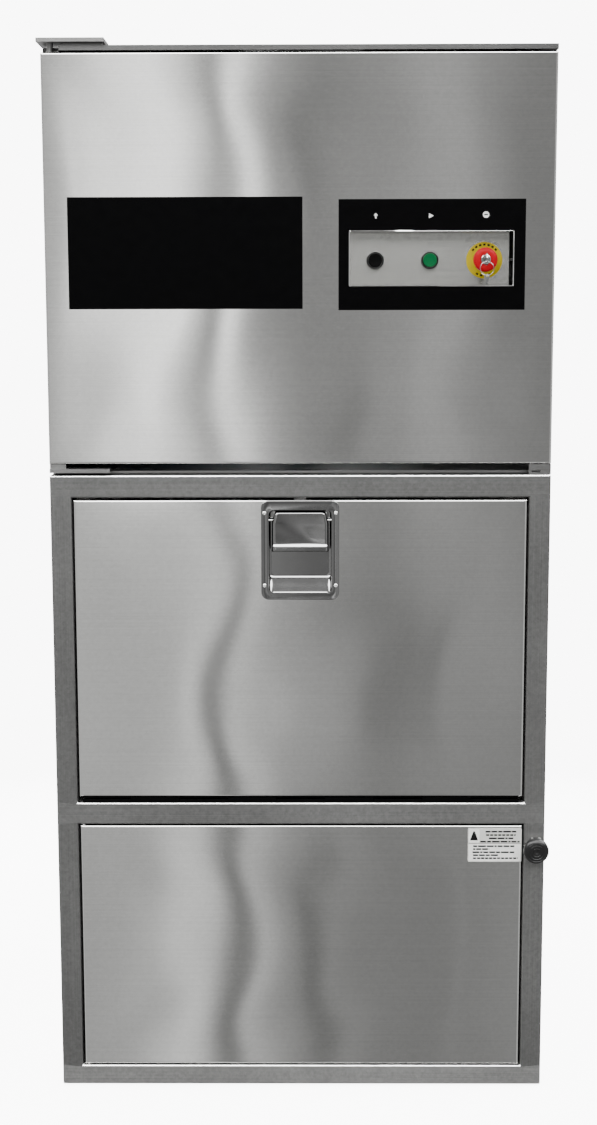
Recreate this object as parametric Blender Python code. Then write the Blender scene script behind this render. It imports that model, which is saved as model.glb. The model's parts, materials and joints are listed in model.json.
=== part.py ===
"""Trash compactor: a brushed steel cabinet with a hydraulic press, three doors and a push-button panel.

Sizes are in millimetres while a shape is built: X to the right, Y back from the front plane, Z up from the
floor. Each mesh is converted to metres when it becomes an object, with the origin at the footprint's centre.
"""

import itertools
import math

import bmesh
import bpy

# Overall cabinet
HALF_WIDTH = 419.0
DEPTH = 760.0
GAP = 0.3
SHEET = 2.0
FRAME_DEPTH = 38.0
STILE_WIDTH = 35.6
CABINET_BOTTOM = 3.0
CABINET_TOP = 1076.3
RAIL_BOTTOM_TOP = 38.1
RAIL_MIDDLE_BOTTOM = 474.8
RAIL_MIDDLE_TOP = 512.6
RAIL_TOP_BOTTOM = 1038.6
BACK = DEPTH - SHEET

# Head, which holds the press and its power unit
HEAD_HALF_WIDTH = 415.0
HEAD_FRONT = 40.0
HEAD_FLOOR_BOTTOM = CABINET_TOP + GAP
HEAD_FLOOR_TOP = HEAD_FLOOR_BOTTOM + 4.0
HEAD_BACK = 755.7
HEAD_TOP = 1771.0
COVER_BOTTOM = 1765.0
COVER_TOP = 1773.3

# Upper door and its pivots
DOOR_SHEET = 1.5
HEAD_DOOR_BOTTOM = 1095.5
HEAD_DOOR_TOP = 1762.0
HEAD_DOOR_DEPTH = 32.0
PIVOT_X = -404.5
PIVOT_Y = 14.0
PIVOT_RADIUS = 5.2
HINGE_PLATE_TOP = 1784.0
HINGE_PLATE_THICKNESS = 6.4

# Black plates on the upper door
PLATE_FRONT = -1.5
NAMEPLATE = (-380.0, 5.0, 1351.0, 1532.4)
BEZEL = (64.0, 370.0, 1348.7, 1528.0)
WINDOW = (81.0, 351.6, 1387.0, 1477.7)

# Controls
PANEL_FRONT = 20.0
BUTTON_Z = 1430.0
UP_X = 124.8
START_X = 214.9
STOP_X = 304.8
BUTTON_RADIUS = 11.4
BEZEL_RADIUS = 14.75
STOP_RADIUS = 20.0
LOCK_RADIUS = 8.0
STEM_RADIUS = 4.0
KEY_HOLE_Y = -28.0
KEY_HOLE_Z = BUTTON_Z - 2.0
KEY_RING_RADIUS = 11.2
KEY_RING_WIRE = 0.9

# Loading door, hinged along its bottom edge
DOOR_HALF_WIDTH = 380.0
DOOR_DEPTH = 33.0
LOADING_BOTTOM = 523.6
LOADING_TOP = 1034.7
HINGE_Y = 3.2
HINGE_Z = 516.0
HINGE_OUTER = 3.0
HINGE_INNER = 1.8
HINGE_PIN = 1.5
HINGE_HALF_LENGTH = 374.0
HINGE_KNUCKLES = 9

# Paddle latch
FLANGE = (-65.7, 65.7, 865.7, 1034.0)
CUP_HALF_WIDTH = 52.5
CUP_BOTTOM = 876.8
CUP_TOP = 1017.3
CUP_DEPTH = 19.8
CUP_WALL = 1.3
PADDLE_HALF_WIDTH = 47.7
PADDLE_Y = 9.0
PADDLE_Z = 1000.0
BOLT_Y = (24.0, 31.0)

# Container door and its turn knob
CONTAINER_DOOR_BOTTOM = 40.7
CONTAINER_DOOR_TOP = 472.3
ROD_X = -373.4
ROD_Y = 5.0
ROD_RADIUS = 3.0
LABEL = (287.4, 379.4, 408.3, 467.9)
KNOB_X = 403.0
KNOB_Z = 432.0
KNOB_RADIUS = 21.5

# Press
PRESS_Y = 380.0
PLATEN_HALF_WIDTH = 325.0
PLATEN_Y = (75.0, 680.0)
PLATEN_BOTTOM = 1000.0
PLATEN_THICKNESS = 12.0
RIB_HEIGHT = 28.0
ROD_RAM_RADIUS = 20.0
BARREL_OUTER = 40.0
BARREL_INNER = 32.0
BARREL_TOP = 1700.0

# Container and loading chamber
BIN_HALF_WIDTH = 340.0
BIN_Y = (60.0, 700.0)
BIN_TOP = 455.0
CHAMBER_HALF_WIDTH = 350.0
CHAMBER_Y = (42.0, 720.0)

METRES = 0.001
AXES = "xyz"
pivots = {}


def clear_scene():
    for old in list(bpy.data.objects):
        bpy.data.objects.remove(old, do_unlink=True)


def material(name, color, metallic, roughness):
    mat = bpy.data.materials.get(name)
    if mat is None:
        mat = bpy.data.materials.new(name)
        mat.use_nodes = True
        shader = mat.node_tree.nodes["Principled BSDF"]
        shader.inputs["Base Color"].default_value = (*color, 1.0)
        shader.inputs["Metallic"].default_value = metallic
        shader.inputs["Roughness"].default_value = roughness
        mat.diffuse_color = (*color, 1.0)
    return mat


def stainless(piece):
    return material(piece + "_steel", (0.56, 0.56, 0.55), 1.0, 0.32)


def plated(piece):
    return material(piece + "_plated", (0.72, 0.72, 0.71), 1.0, 0.15)


def painted(piece, color):
    return material(piece + "_paint", color, 0.0, 0.45)


def world(point):
    return (point[0] * METRES, (point[1] - DEPTH / 2) * METRES, point[2] * METRES)


def pivot(name, at, parent=None):
    """An empty on a joint's axis, which the moving pieces of that body hang on."""
    empty = bpy.data.objects.new(name, None)
    bpy.context.collection.objects.link(empty)
    spot = world(at)
    if parent is None:
        empty.location = spot
    else:
        empty.parent = pivots[parent][0]
        base = world(pivots[parent][1])
        empty.location = [spot[i] - base[i] for i in range(3)]
    pivots[name] = (empty, at)


def place(name, mesh, mat, body=None, smooth=False):
    """Turn a mesh in millimetres into an object in metres, on its body's pivot or about its own centre."""
    if body is None:
        low = [min(v.co[i] for v in mesh.verts) for i in range(3)]
        high = [max(v.co[i] for v in mesh.verts) for i in range(3)]
        at = [(low[i] + high[i]) / 2 for i in range(3)]
    else:
        at = pivots[body][1]
    for v in mesh.verts:
        v.co = [(v.co[i] - at[i]) * METRES for i in range(3)]
    data = bpy.data.meshes.new(name)
    mesh.to_mesh(data)
    mesh.free()
    data.materials.append(mat)
    obj = bpy.data.objects.new(name, data)
    bpy.context.collection.objects.link(obj)
    if body is None:
        obj.location = world(at)
    else:
        obj.parent = pivots[body][0]
    if smooth:
        data.shade_smooth()
        data.set_sharp_from_angle(angle=math.radians(35))
    return obj


def combine(obj, mesh, operation):
    """Cut a helper shape out of an object, or join it on, with an exact Boolean."""
    body = obj.parent.name if obj.parent else None
    name = f"{obj.name}_{operation.lower()}_{len(obj.modifiers)}"
    helper = place(name, mesh, obj.data.materials[0], body)
    helper.hide_render = True
    helper.display_type = "WIRE"
    step = obj.modifiers.new(name, "BOOLEAN")
    step.operation = operation
    step.solver = "EXACT"
    step.object = helper


def cut(obj, mesh):
    combine(obj, mesh, "DIFFERENCE")


def join(obj, mesh):
    combine(obj, mesh, "UNION")


def along(axis, a, b, h):
    """A point from its height along an axis and its two other coordinates."""
    return {"x": (h, a, b), "y": (a, h, b), "z": (a, b, h)}[axis]


def closed(mesh):
    bmesh.ops.recalc_face_normals(mesh, faces=mesh.faces)
    return mesh


def box(x0, x1, y0, y1, z0, z1):
    return prism([(x0, y0), (x1, y0), (x1, y1), (x0, y1)], "z", z0, z1)


def prism(outline, axis, low, high):
    """A closed outline, given in the two coordinates across the axis, extruded from low to high."""
    mesh = bmesh.new()
    ends = [[mesh.verts.new(along(axis, a, b, h)) for a, b in outline] for h in (low, high)]
    mesh.faces.new(ends[0])
    mesh.faces.new(ends[1])
    for i in range(len(outline)):
        j = (i + 1) % len(outline)
        mesh.faces.new((ends[0][i], ends[0][j], ends[1][j], ends[1][i]))
    return closed(mesh)


def corners(a0, a1, b0, b1):
    return [(a0, b0), (a1, b0), (a1, b1), (a0, b1)]


def hollow_bar(a0, a1, b0, b1, wall, axis, low, high):
    """A rectangular tube with open ends."""
    mesh = bmesh.new()
    loops = []
    for inset, h in ((0.0, low), (0.0, high), (wall, high), (wall, low)):
        outline = corners(a0 + inset, a1 - inset, b0 + inset, b1 - inset)
        loops.append([mesh.verts.new(along(axis, a, b, h)) for a, b in outline])
    for k in range(4):
        here = loops[k]
        there = loops[(k + 1) % 4]
        for i in range(4):
            j = (i + 1) % 4
            mesh.faces.new((here[i], here[j], there[j], there[i]))
    return closed(mesh)


def tray(low, high, wall, open_side):
    """A box with five walls, open towards one side, such as "+y"."""
    way = AXES.index(open_side[1])
    end = 1 if open_side[0] == "+" else 0
    inner_low = [a + wall for a in low]
    inner_high = [b - wall for b in high]
    if end:
        inner_high[way] = high[way]
    else:
        inner_low[way] = low[way]
    mesh = bmesh.new()
    shells = []
    for lo, hi in ((low, high), (inner_low, inner_high)):
        shell = {}
        for corner in itertools.product((0, 1), repeat=3):
            shell[corner] = mesh.verts.new([(lo, hi)[corner[i]][i] for i in range(3)])
        shells.append(shell)
    for i in range(3):
        for side in (0, 1):
            others = [n for n in range(3) if n != i]
            ring = []
            for a, b in ((0, 0), (1, 0), (1, 1), (0, 1)):
                corner = [side] * 3
                corner[others[0]] = a
                corner[others[1]] = b
                ring.append(tuple(corner))
            if i == way and side == end:
                for k in range(4):
                    here, there = ring[k], ring[(k + 1) % 4]
                    quad = (shells[0][here], shells[0][there], shells[1][there], shells[1][here])
                    mesh.faces.new(quad)
            else:
                for shell in shells:
                    mesh.faces.new([shell[corner] for corner in ring])
    return closed(mesh)


def turned(profile, centre, axis, segments):
    """A profile of (radius, height) points turned about an axis.

    A profile that starts and ends on the axis is solid. One that never meets it is a closed ring.
    """
    mesh = bmesh.new()
    way = AXES.index(axis)
    across = [centre[i] for i in range(3) if i != way]
    rings = []
    for radius, height in profile:
        if radius < 1e-6:
            rings.append([mesh.verts.new(along(axis, across[0], across[1], centre[way] + height))])
            continue
        ring = []
        for k in range(segments):
            turn = 2 * math.pi * (k + 0.5) / segments
            a = across[0] + radius * math.cos(turn)
            b = across[1] + radius * math.sin(turn)
            ring.append(mesh.verts.new(along(axis, a, b, centre[way] + height)))
        rings.append(ring)
    pairs = list(zip(rings, rings[1:]))
    if len(rings[0]) > 1:
        pairs.append((rings[-1], rings[0]))
    for one, two in pairs:
        for k in range(segments):
            j = (k + 1) % segments
            if len(one) == 1:
                mesh.faces.new((one[0], two[k], two[j]))
            elif len(two) == 1:
                mesh.faces.new((one[k], one[j], two[0]))
            else:
                mesh.faces.new((one[k], one[j], two[j], two[k]))
    return closed(mesh)


def cylinder(radius, centre, axis, low, high, segments=24):
    """A solid round bar between two coordinates on its axis."""
    at = list(centre)
    at[AXES.index(axis)] = 0.0
    return turned([(0.0, low), (radius, low), (radius, high), (0.0, high)], at, axis, segments)


def ring(inner, outer, centre, axis, low, high, segments=32):
    at = list(centre)
    at[AXES.index(axis)] = 0.0
    return turned([(inner, low), (outer, low), (outer, high), (inner, high)], at, axis, segments)


def arc(centre, radius, start, end, steps):
    """Points on an arc, with its angles in degrees."""
    points = []
    for k in range(steps + 1):
        turn = math.radians(start + (end - start) * k / steps)
        points.append((centre[0] + radius * math.cos(turn), centre[1] + radius * math.sin(turn)))
    return points


def mirrored(outline):
    return [(-a, b) for a, b in outline]


def smooth_route(points, steps):
    """A Catmull-Rom curve through the given points."""
    ends = [points[0]] + list(points) + [points[-1]]
    route = []
    for k in range(1, len(ends) - 2):
        before, start, stop, after = ends[k - 1 : k + 3]
        for n in range(steps):
            t = n / steps
            spot = []
            for i in range(3):
                slope = stop[i] - before[i]
                bend = 2 * before[i] - 5 * start[i] + 4 * stop[i] - after[i]
                twist = -before[i] + 3 * start[i] - 3 * stop[i] + after[i]
                spot.append(start[i] + 0.5 * (slope * t + bend * t * t + twist * t**3))
            route.append(spot)
    return route + [list(points[-1])]


def hose(name, points, radius, mat):
    """A hose of round section along a smooth route, with a straight stretch at each end."""
    curve = bpy.data.curves.new(name, "CURVE")
    curve.dimensions = "3D"
    curve.bevel_depth = radius * METRES
    curve.bevel_resolution = 2
    curve.use_fill_caps = True
    route = [points[0]] + smooth_route(points[1:-1], 6) + [points[-1]]
    route = [world(p) for p in route]
    spline = curve.splines.new("POLY")
    spline.points.add(len(route) - 1)
    for spot, point in zip(route, spline.points):
        point.co = (*spot, 1.0)
    curve.materials.append(mat)
    obj = bpy.data.objects.new(name, curve)
    bpy.context.collection.objects.link(obj)
    return obj


def build_lower_frame():
    inner = HALF_WIDTH - STILE_WIDTH
    for side, sign in (("left", -1), ("right", 1)):
        x0, x1 = sorted((sign * HALF_WIDTH, sign * inner))
        name = "stile_" + side
        bar = hollow_bar(x0, x1, 0.0, FRAME_DEPTH, SHEET, "z", CABINET_BOTTOM, CABINET_TOP)
        stile = place(name, bar, stainless(name))
        if side == "right":
            cut(stile, cylinder(5.6, (KNOB_X, 0, KNOB_Z), "y", -2.0, 4.0))
    rails = (
        ("rail_bottom", CABINET_BOTTOM, RAIL_BOTTOM_TOP),
        ("rail_middle", RAIL_MIDDLE_BOTTOM, RAIL_MIDDLE_TOP),
        ("rail_top", RAIL_TOP_BOTTOM, CABINET_TOP),
    )
    for name, low, high in rails:
        reach = inner - GAP
        bar = hollow_bar(0.0, FRAME_DEPTH, low, high, SHEET, "x", -reach, reach)
        place(name, bar, stainless(name))


def build_lower_cabinet():
    x = HALF_WIDTH
    y0 = FRAME_DEPTH + GAP
    y1 = BACK - GAP
    panel = [(x, y0), (x, y1), (x - 15, y1), (x - 15, y1 - SHEET), (x - SHEET, y1 - SHEET), (x - SHEET, y0)]
    for side, outline in (("right", panel), ("left", mirrored(panel))):
        name = "side_panel_" + side
        place(name, prism(outline, "z", CABINET_BOTTOM, CABINET_TOP), stainless(name))
    back = box(-x, x, BACK, DEPTH, CABINET_BOTTOM, CABINET_TOP)
    place("back_panel", back, stainless("back_panel"))
    reach = x - SHEET - GAP
    base = box(-reach, reach, y0, y1 - SHEET - GAP, CABINET_BOTTOM, CABINET_BOTTOM + 3.0)
    place("base_plate", base, stainless("base_plate"))
    for side, x0, x1 in (("left", -415.0, -355.0), ("right", 355.0, 415.0)):
        skid = box(x0, x1, 20.0, DEPTH - 20.0, 0.0, CABINET_BOTTOM - GAP)
        place("skid_" + side, skid, painted("skid_" + side, (0.02, 0.02, 0.02)))
    chamber = [(CHAMBER_HALF_WIDTH + 30.0, CHAMBER_Y[0]), (CHAMBER_HALF_WIDTH + 30.0, CHAMBER_Y[0] + SHEET)]
    chamber += [(CHAMBER_HALF_WIDTH + SHEET, CHAMBER_Y[0] + SHEET)]
    chamber += [(CHAMBER_HALF_WIDTH + SHEET, CHAMBER_Y[1] + SHEET)]
    inside = [(CHAMBER_HALF_WIDTH, CHAMBER_Y[1]), (CHAMBER_HALF_WIDTH, CHAMBER_Y[0])]
    outline = chamber + mirrored(reversed(chamber)) + mirrored(reversed(inside)) + inside
    liner = prism(outline, "z", 470.0, 1035.0)
    place("chamber_liner", liner, stainless("chamber_liner"))


def build_head():
    x = HEAD_HALF_WIDTH
    floor = box(-x, x, FRAME_DEPTH, HEAD_BACK - GAP, HEAD_FLOOR_BOTTOM, HEAD_FLOOR_TOP)
    floor = place("head_floor", floor, stainless("head_floor"))
    cut(floor, cylinder(24.0, (0, PRESS_Y, 0), "z", HEAD_FLOOR_BOTTOM - 5, HEAD_FLOOR_TOP + 5, 32))
    y0 = HEAD_FRONT
    y1 = HEAD_BACK - GAP
    lip = 20.0
    pan = [(x, y0), (x, y1), (x - lip, y1), (x - lip, y1 - SHEET), (x - SHEET, y1 - SHEET)]
    pan += [(x - SHEET, y0 + SHEET), (x - lip, y0 + SHEET), (x - lip, y0)]
    for side, outline in (("right", pan), ("left", mirrored(pan))):
        name = "head_side_" + side
        place(name, prism(outline, "z", HEAD_FLOOR_TOP + GAP, HEAD_TOP), stainless(name))
    back = box(-x, x, HEAD_BACK, HEAD_BACK + SHEET, HEAD_FLOOR_BOTTOM, HEAD_TOP)
    back = place("head_back", back, stainless("head_back"))
    for row in range(8):
        z = 1560.0 + row * 18.0
        cut(back, box(-120.0, 120.0, HEAD_BACK - 3, HEAD_BACK + 5, z, z + 7.0))
    cut(back, cylinder(9.4, (250.0, 0, 1180.0), "y", HEAD_BACK - 3, HEAD_BACK + 5))
    gland = [(5.0, HEAD_BACK - 11), (9.0, HEAD_BACK - 11), (9.0, BACK), (14.0, BACK), (14.0, BACK + 16)]
    gland += [(12.0, BACK + 18), (12.0, BACK + 29), (9.0, DEPTH + 33), (5.0, DEPTH + 33)]
    black = painted("cable_gland", (0.03, 0.03, 0.03))
    place("cable_gland", turned(gland, (250.0, 0, 1180.0), "y", 24), black, smooth=True)
    cover = tray((-HALF_WIDTH, 0.0, COVER_BOTTOM), (HALF_WIDTH, DEPTH, COVER_TOP), SHEET, "-z")
    cover = place("top_cover", cover, stainless("top_cover"))
    cut(cover, box(-HALF_WIDTH - 5, PIVOT_X + 16, -5.0, 30.0, COVER_BOTTOM - 5, COVER_TOP + 5))


def build_pivot_plates():
    low = HINGE_PLATE_TOP - HINGE_PLATE_THICKNESS
    left = -KNOB_X - KNOB_RADIUS
    plate = box(left, -314.7, -8.0, 62.0, low, HINGE_PLATE_TOP)
    plate = place("hinge_plate_top", plate, stainless("hinge_plate_top"))
    join(plate, box(PIVOT_X + 20, -320.0, 12.0, 60.0, COVER_TOP + GAP, low + 2))
    join(plate, cylinder(PIVOT_RADIUS, (PIVOT_X, PIVOT_Y, 0), "z", HEAD_DOOR_TOP - 17, low + 3))
    low = HEAD_FLOOR_TOP + GAP
    outline = [(-418.0, -4.0), (-317.4, -4.0), (-317.4, 100.0), (-394.0, 100.0), (-394.0, 39.0), (-418.0, 39.0)]
    plate = prism(outline, "z", low, low + HINGE_PLATE_THICKNESS)
    plate = place("hinge_plate_bottom", plate, stainless("hinge_plate_bottom"))
    collar_top = HEAD_DOOR_BOTTOM - GAP
    join(plate, box(-418.0, -391.0, 1.0, 27.0, low + 3, collar_top))
    pin = cylinder(PIVOT_RADIUS, (PIVOT_X, PIVOT_Y, 0), "z", collar_top - 2, HEAD_DOOR_BOTTOM + 17)
    join(plate, pin)
    low = CABINET_TOP + GAP
    high = 1094.5
    rest = [(4.0, low), (34.0, low), (34.0, low + SHEET), (4.0 + SHEET, low + SHEET), (4.0 + SHEET, high - SHEET)]
    rest += [(34.0, high - SHEET), (34.0, high), (4.0, high)]
    rest = place("door_rest", prism(rest, "x", 382.0, HALF_WIDTH), stainless("door_rest"))
    cut(rest, box(387.0, 402.0, 0.0, 10.0, low + 4.0, low + 6.5))


def build_head_door():
    pivot("head_door_pivot", (PIVOT_X, PIVOT_Y, HEAD_DOOR_BOTTOM))
    low = (-HALF_WIDTH, 0.0, HEAD_DOOR_BOTTOM)
    high = (HALF_WIDTH, HEAD_DOOR_DEPTH, HEAD_DOOR_TOP)
    door = tray(low, high, DOOR_SHEET, "+y")
    door = place("head_door", door, stainless("head_door"), "head_door_pivot")
    x0, x1, z0, z1 = WINDOW
    cut(door, box(x0, x1, -5.0, 5.0, z0, z1))
    hole = (PIVOT_X, PIVOT_Y, 0)
    cut(door, cylinder(PIVOT_RADIUS + 0.4, hole, "z", HEAD_DOOR_BOTTOM - 4, HEAD_DOOR_BOTTOM + 4))
    cut(door, cylinder(PIVOT_RADIUS + 0.4, hole, "z", HEAD_DOOR_TOP - 4, HEAD_DOOR_TOP + 4))
    black = (0.01, 0.01, 0.01)
    a0, a1, b0, b1 = NAMEPLATE
    plate = box(a0, a1, PLATE_FRONT, -GAP, b0, b1)
    place("nameplate", plate, painted("nameplate", black), "head_door_pivot")
    a0, a1, b0, b1 = BEZEL
    frame = box(a0, a1, PLATE_FRONT, -GAP, b0, b1)
    frame = place("control_bezel", frame, painted("control_bezel", black), "head_door_pivot")
    cut(frame, box(x0, x1, -5.0, 5.0, z0, z1))


def build_controls():
    panel = box(60.0, 345.5, PANEL_FRONT, PANEL_FRONT + SHEET, 1375.0, 1490.0)
    panel = place("control_panel", panel, stainless("control_panel"))
    for x in (UP_X, START_X, STOP_X):
        cut(panel, cylinder(STEM_RADIUS + 0.6, (x, 0, BUTTON_Z), "y", PANEL_FRONT - 3, PANEL_FRONT + 5))
    y0 = PANEL_FRONT + SHEET + GAP
    housing = tray((62.0, y0, 1378.0), (343.0, 110.0, 1487.0), SHEET, "-y")
    housing = place("control_box", housing, painted("control_box", (0.35, 0.36, 0.37)))
    join(housing, box(342.0, 411.6, 52.0, 98.0, 1431.0, 1434.0))
    join(housing, box(410.6, HEAD_HALF_WIDTH - SHEET - GAP, 50.0, 100.0, 1410.0, 1460.0))
    colors = {"up": (0.02, 0.02, 0.02), "start": (0.0, 0.35, 0.12)}
    face = PANEL_FRONT - GAP
    for name, x in (("up", UP_X), ("start", START_X)):
        at = (x, 0, BUTTON_Z)
        collar = ring(BUTTON_RADIUS + 0.6, BEZEL_RADIUS, at, "y", face - 7.0, face)
        place(name + "_bezel", collar, painted(name + "_bezel", colors["up"]), smooth=True)
        pivot(name + "_pivot", at)
        cap = [(0.0, 10.0), (BUTTON_RADIUS - 0.8, 10.0), (BUTTON_RADIUS, 10.8), (BUTTON_RADIUS, 15.5)]
        cap += [(STEM_RADIUS, 15.5), (STEM_RADIUS, 28.0), (0.0, 28.0)]
        cap = turned(cap, at, "y", 32)
        place(name + "_button", cap, painted(name + "_button", colors[name]), name + "_pivot", smooth=True)
    build_stop_switch(face)


def build_stop_switch(face):
    at = (STOP_X, 0, BUTTON_Z)
    legend = ring(12.4, 30.0, at, "y", face - 1.5, face)
    place("estop_legend", legend, painted("estop_legend", (0.85, 0.62, 0.03)), smooth=True)
    collar = ring(8.6, 12.0, at, "y", face - 11.2, face)
    place("estop_collar", collar, painted("estop_collar", (0.2, 0.2, 0.2)), smooth=True)
    pivot("estop_pivot", at)
    head = [(0.0, 0.0), (LOCK_RADIUS + 0.3, 0.0), (LOCK_RADIUS + 0.3, -8.0), (14.0, -8.0), (18.5, -6.0)]
    head += [(STOP_RADIUS, -2.0), (STOP_RADIUS, 2.0), (17.0, 3.0), (8.0, 3.0), (8.0, 14.0)]
    head += [(STEM_RADIUS, 14.0), (STEM_RADIUS, 28.0), (0.0, 28.0)]
    red = painted("estop_head", (0.75, 0.03, 0.02))
    place("estop_head", turned(head, at, "y", 32), red, "estop_pivot", smooth=True)
    pivot("key_pivot", at, "estop_pivot")
    plug = [(0.0, -GAP), (LOCK_RADIUS, -GAP), (LOCK_RADIUS, -8.8), (LOCK_RADIUS - 0.8, -9.6), (0.0, -9.6)]
    key = place("estop_key", turned(plug, at, "y", 24), plated("estop_key"), "key_pivot", smooth=True)
    bow = [(-8.5, BUTTON_Z + 3.5), (-13.0, BUTTON_Z + 3.5)]
    bow += arc((-22.5, BUTTON_Z), 10.5, 30.0, 330.0, 20)
    bow += [(-13.0, BUTTON_Z - 3.5), (-8.5, BUTTON_Z - 3.5)]
    join(key, prism(bow, "x", STOP_X - 1.1, STOP_X + 1.1))
    cut(key, cylinder(3.0, (0, KEY_HOLE_Y, KEY_HOLE_Z), "x", STOP_X - 5, STOP_X + 5, 16))
    build_key_ring()


def build_key_ring():
    """The split ring through the key's bow, with the spare key that hangs from it."""
    wire_z = KEY_HOLE_Z - 3.0 + KEY_RING_WIRE + GAP
    pivot("ring_pivot", (STOP_X, KEY_HOLE_Y, wire_z), "key_pivot")
    section = arc((KEY_RING_RADIUS, 0.0), KEY_RING_WIRE, 0.0, 315.0, 7)
    centre = (STOP_X, KEY_HOLE_Y, wire_z - KEY_RING_RADIUS)
    loop = place("key_ring", turned(section, centre, "y", 32), plated("key_ring"), "ring_pivot", smooth=True)
    low = centre[2] - KEY_RING_RADIUS
    blade = [(STOP_X - 2.2, low - 14.5), (STOP_X + 2.2, low - 14.5), (STOP_X + 2.2, low - 6.5)]
    blade += arc((STOP_X, low - 2.5), 4.6, -45.0, 225.0, 14)
    blade += [(STOP_X - 2.2, low - 6.5)]
    join(loop, prism(blade, "y", KEY_HOLE_Y - 0.7, KEY_HOLE_Y + 0.7))


def knuckle_gaps(mesh_cut, obj, first):
    """Notch a hinge leaf where the other leaf's knuckles sit."""
    pitch = 2 * HINGE_HALF_LENGTH / HINGE_KNUCKLES
    for k in range(first, HINGE_KNUCKLES, 2):
        x0 = -HINGE_HALF_LENGTH + k * pitch - GAP
        cut(obj, mesh_cut(x0, x0 + pitch + 2 * GAP))


def build_loading_hinge():
    centre = (HINGE_Y, HINGE_Z)
    leaf_back = 30.0
    leaf = HINGE_OUTER - HINGE_INNER
    reach = HINGE_HALF_LENGTH
    outline = [(leaf_back, HINGE_Z - HINGE_OUTER)] + arc(centre, HINGE_OUTER, 270.0, 10.0, 10)
    outline += arc(centre, HINGE_INNER, 10.0, 270.0, 10) + [(leaf_back, HINGE_Z - HINGE_INNER)]
    fixed = place("hinge_leaf_frame", prism(outline, "x", -reach, reach), stainless("hinge_leaf_frame"))
    knuckle_gaps(lambda a, b: box(a, b, -1.0, 6.8, HINGE_Z - 4, HINGE_Z + 5), fixed, 1)
    top = LOADING_BOTTOM - GAP
    front = HINGE_Y - HINGE_OUTER
    outline = [(leaf_back, top), (front, top)] + arc(centre, HINGE_OUTER, 180.0, 440.0, 10)
    outline += arc(centre, HINGE_INNER, 440.0, 180.0, 10)
    outline += [(front + leaf, top - leaf), (leaf_back, top - leaf)]
    steel = stainless("hinge_leaf_door")
    moving = place("hinge_leaf_door", prism(outline, "x", -reach, reach), steel, "loading_door_pivot")
    knuckle_gaps(lambda a, b: box(a, b, -1.0, 6.8, HINGE_Z - 4, top - leaf - GAP), moving, 0)
    pin = cylinder(HINGE_PIN, (0, HINGE_Y, HINGE_Z), "x", -reach, reach, 12)
    place("loading_hinge_pin", pin, plated("loading_hinge_pin"), smooth=True)


def build_loading_door():
    pivot("loading_door_pivot", (0.0, HINGE_Y, HINGE_Z))
    x = DOOR_HALF_WIDTH
    door = tray((-x, 0.0, LOADING_BOTTOM), (x, DOOR_DEPTH, LOADING_TOP), DOOR_SHEET, "+y")
    door = place("loading_door", door, stainless("loading_door"), "loading_door_pivot")
    cut(door, box(-CUP_HALF_WIDTH - 3.5, CUP_HALF_WIDTH + 3.5, -3.0, 4.0, CUP_BOTTOM - 4, CUP_TOP + 4))
    cut(door, box(-11.0, 11.0, BOLT_Y[0] - 1, BOLT_Y[1] + 1, LOADING_TOP - 5, LOADING_TOP + 5))
    y0 = DOOR_DEPTH + GAP
    liner = box(-x + 4, x - 4, y0, y0 + DOOR_SHEET, LOADING_BOTTOM + 4, LOADING_TOP - 4)
    place("loading_door_liner", liner, stainless("loading_door_liner"), "loading_door_pivot")
    build_loading_hinge()
    build_paddle_latch()


def build_paddle_latch():
    x0, x1, z0, z1 = FLANGE
    cup = box(x0, x1, PLATE_FRONT, -GAP, z0, z1)
    cup = place("latch_cup", cup, plated("latch_cup"), "loading_door_pivot")
    slope_top = CUP_BOTTOM + 25.9
    shell = [(-1.0, CUP_BOTTOM - 2), (0.5, CUP_BOTTOM - 2), (CUP_DEPTH + CUP_WALL, slope_top - 1)]
    shell += [(CUP_DEPTH + CUP_WALL, CUP_TOP + CUP_WALL), (-1.0, CUP_TOP + CUP_WALL)]
    join(cup, prism(shell, "x", -CUP_HALF_WIDTH - CUP_WALL, CUP_HALF_WIDTH + CUP_WALL))
    hollow = [(-5.0, CUP_BOTTOM), (0.0, CUP_BOTTOM), (CUP_DEPTH, slope_top), (CUP_DEPTH, CUP_TOP)]
    hollow += [(-5.0, CUP_TOP)]
    cut(cup, prism(hollow, "x", -CUP_HALF_WIDTH, CUP_HALF_WIDTH))
    reach = CUP_HALF_WIDTH + CUP_WALL / 2
    join(cup, cylinder(2.0, (0, PADDLE_Y, PADDLE_Z), "x", -reach, reach, 16))
    pivot("paddle_pivot", (0.0, PADDLE_Y, PADDLE_Z), "loading_door_pivot")
    plate = [(1.5, PADDLE_Z + 14), (1.5, 958.0), (0.2, 952.0), (1.5, 946.6), (5.0, 945.8), (8.0, 948.5)]
    plate += [(6.8, 950.8), (4.6, 950.0), (3.5, 956.0)]
    plate += arc((PADDLE_Y, PADDLE_Z), 6.2, 207.5, 512.5, 14)
    plate += [(3.5, PADDLE_Z + 14)]
    paddle = prism(plate, "x", -PADDLE_HALF_WIDTH, PADDLE_HALF_WIDTH)
    paddle = place("latch_paddle", paddle, plated("latch_paddle"), "paddle_pivot")
    cut(paddle, cylinder(2.4, (0, PADDLE_Y, PADDLE_Z), "x", -60.0, 60.0, 16))
    pivot("bolt_pivot", (0.0, sum(BOLT_Y) / 2, 960.0), "loading_door_pivot")
    bolt = box(-10.0, 10.0, BOLT_Y[0], BOLT_Y[1], 960.0, 1036.5)
    place("latch_bolt", bolt, plated("latch_bolt"), "bolt_pivot")


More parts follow.
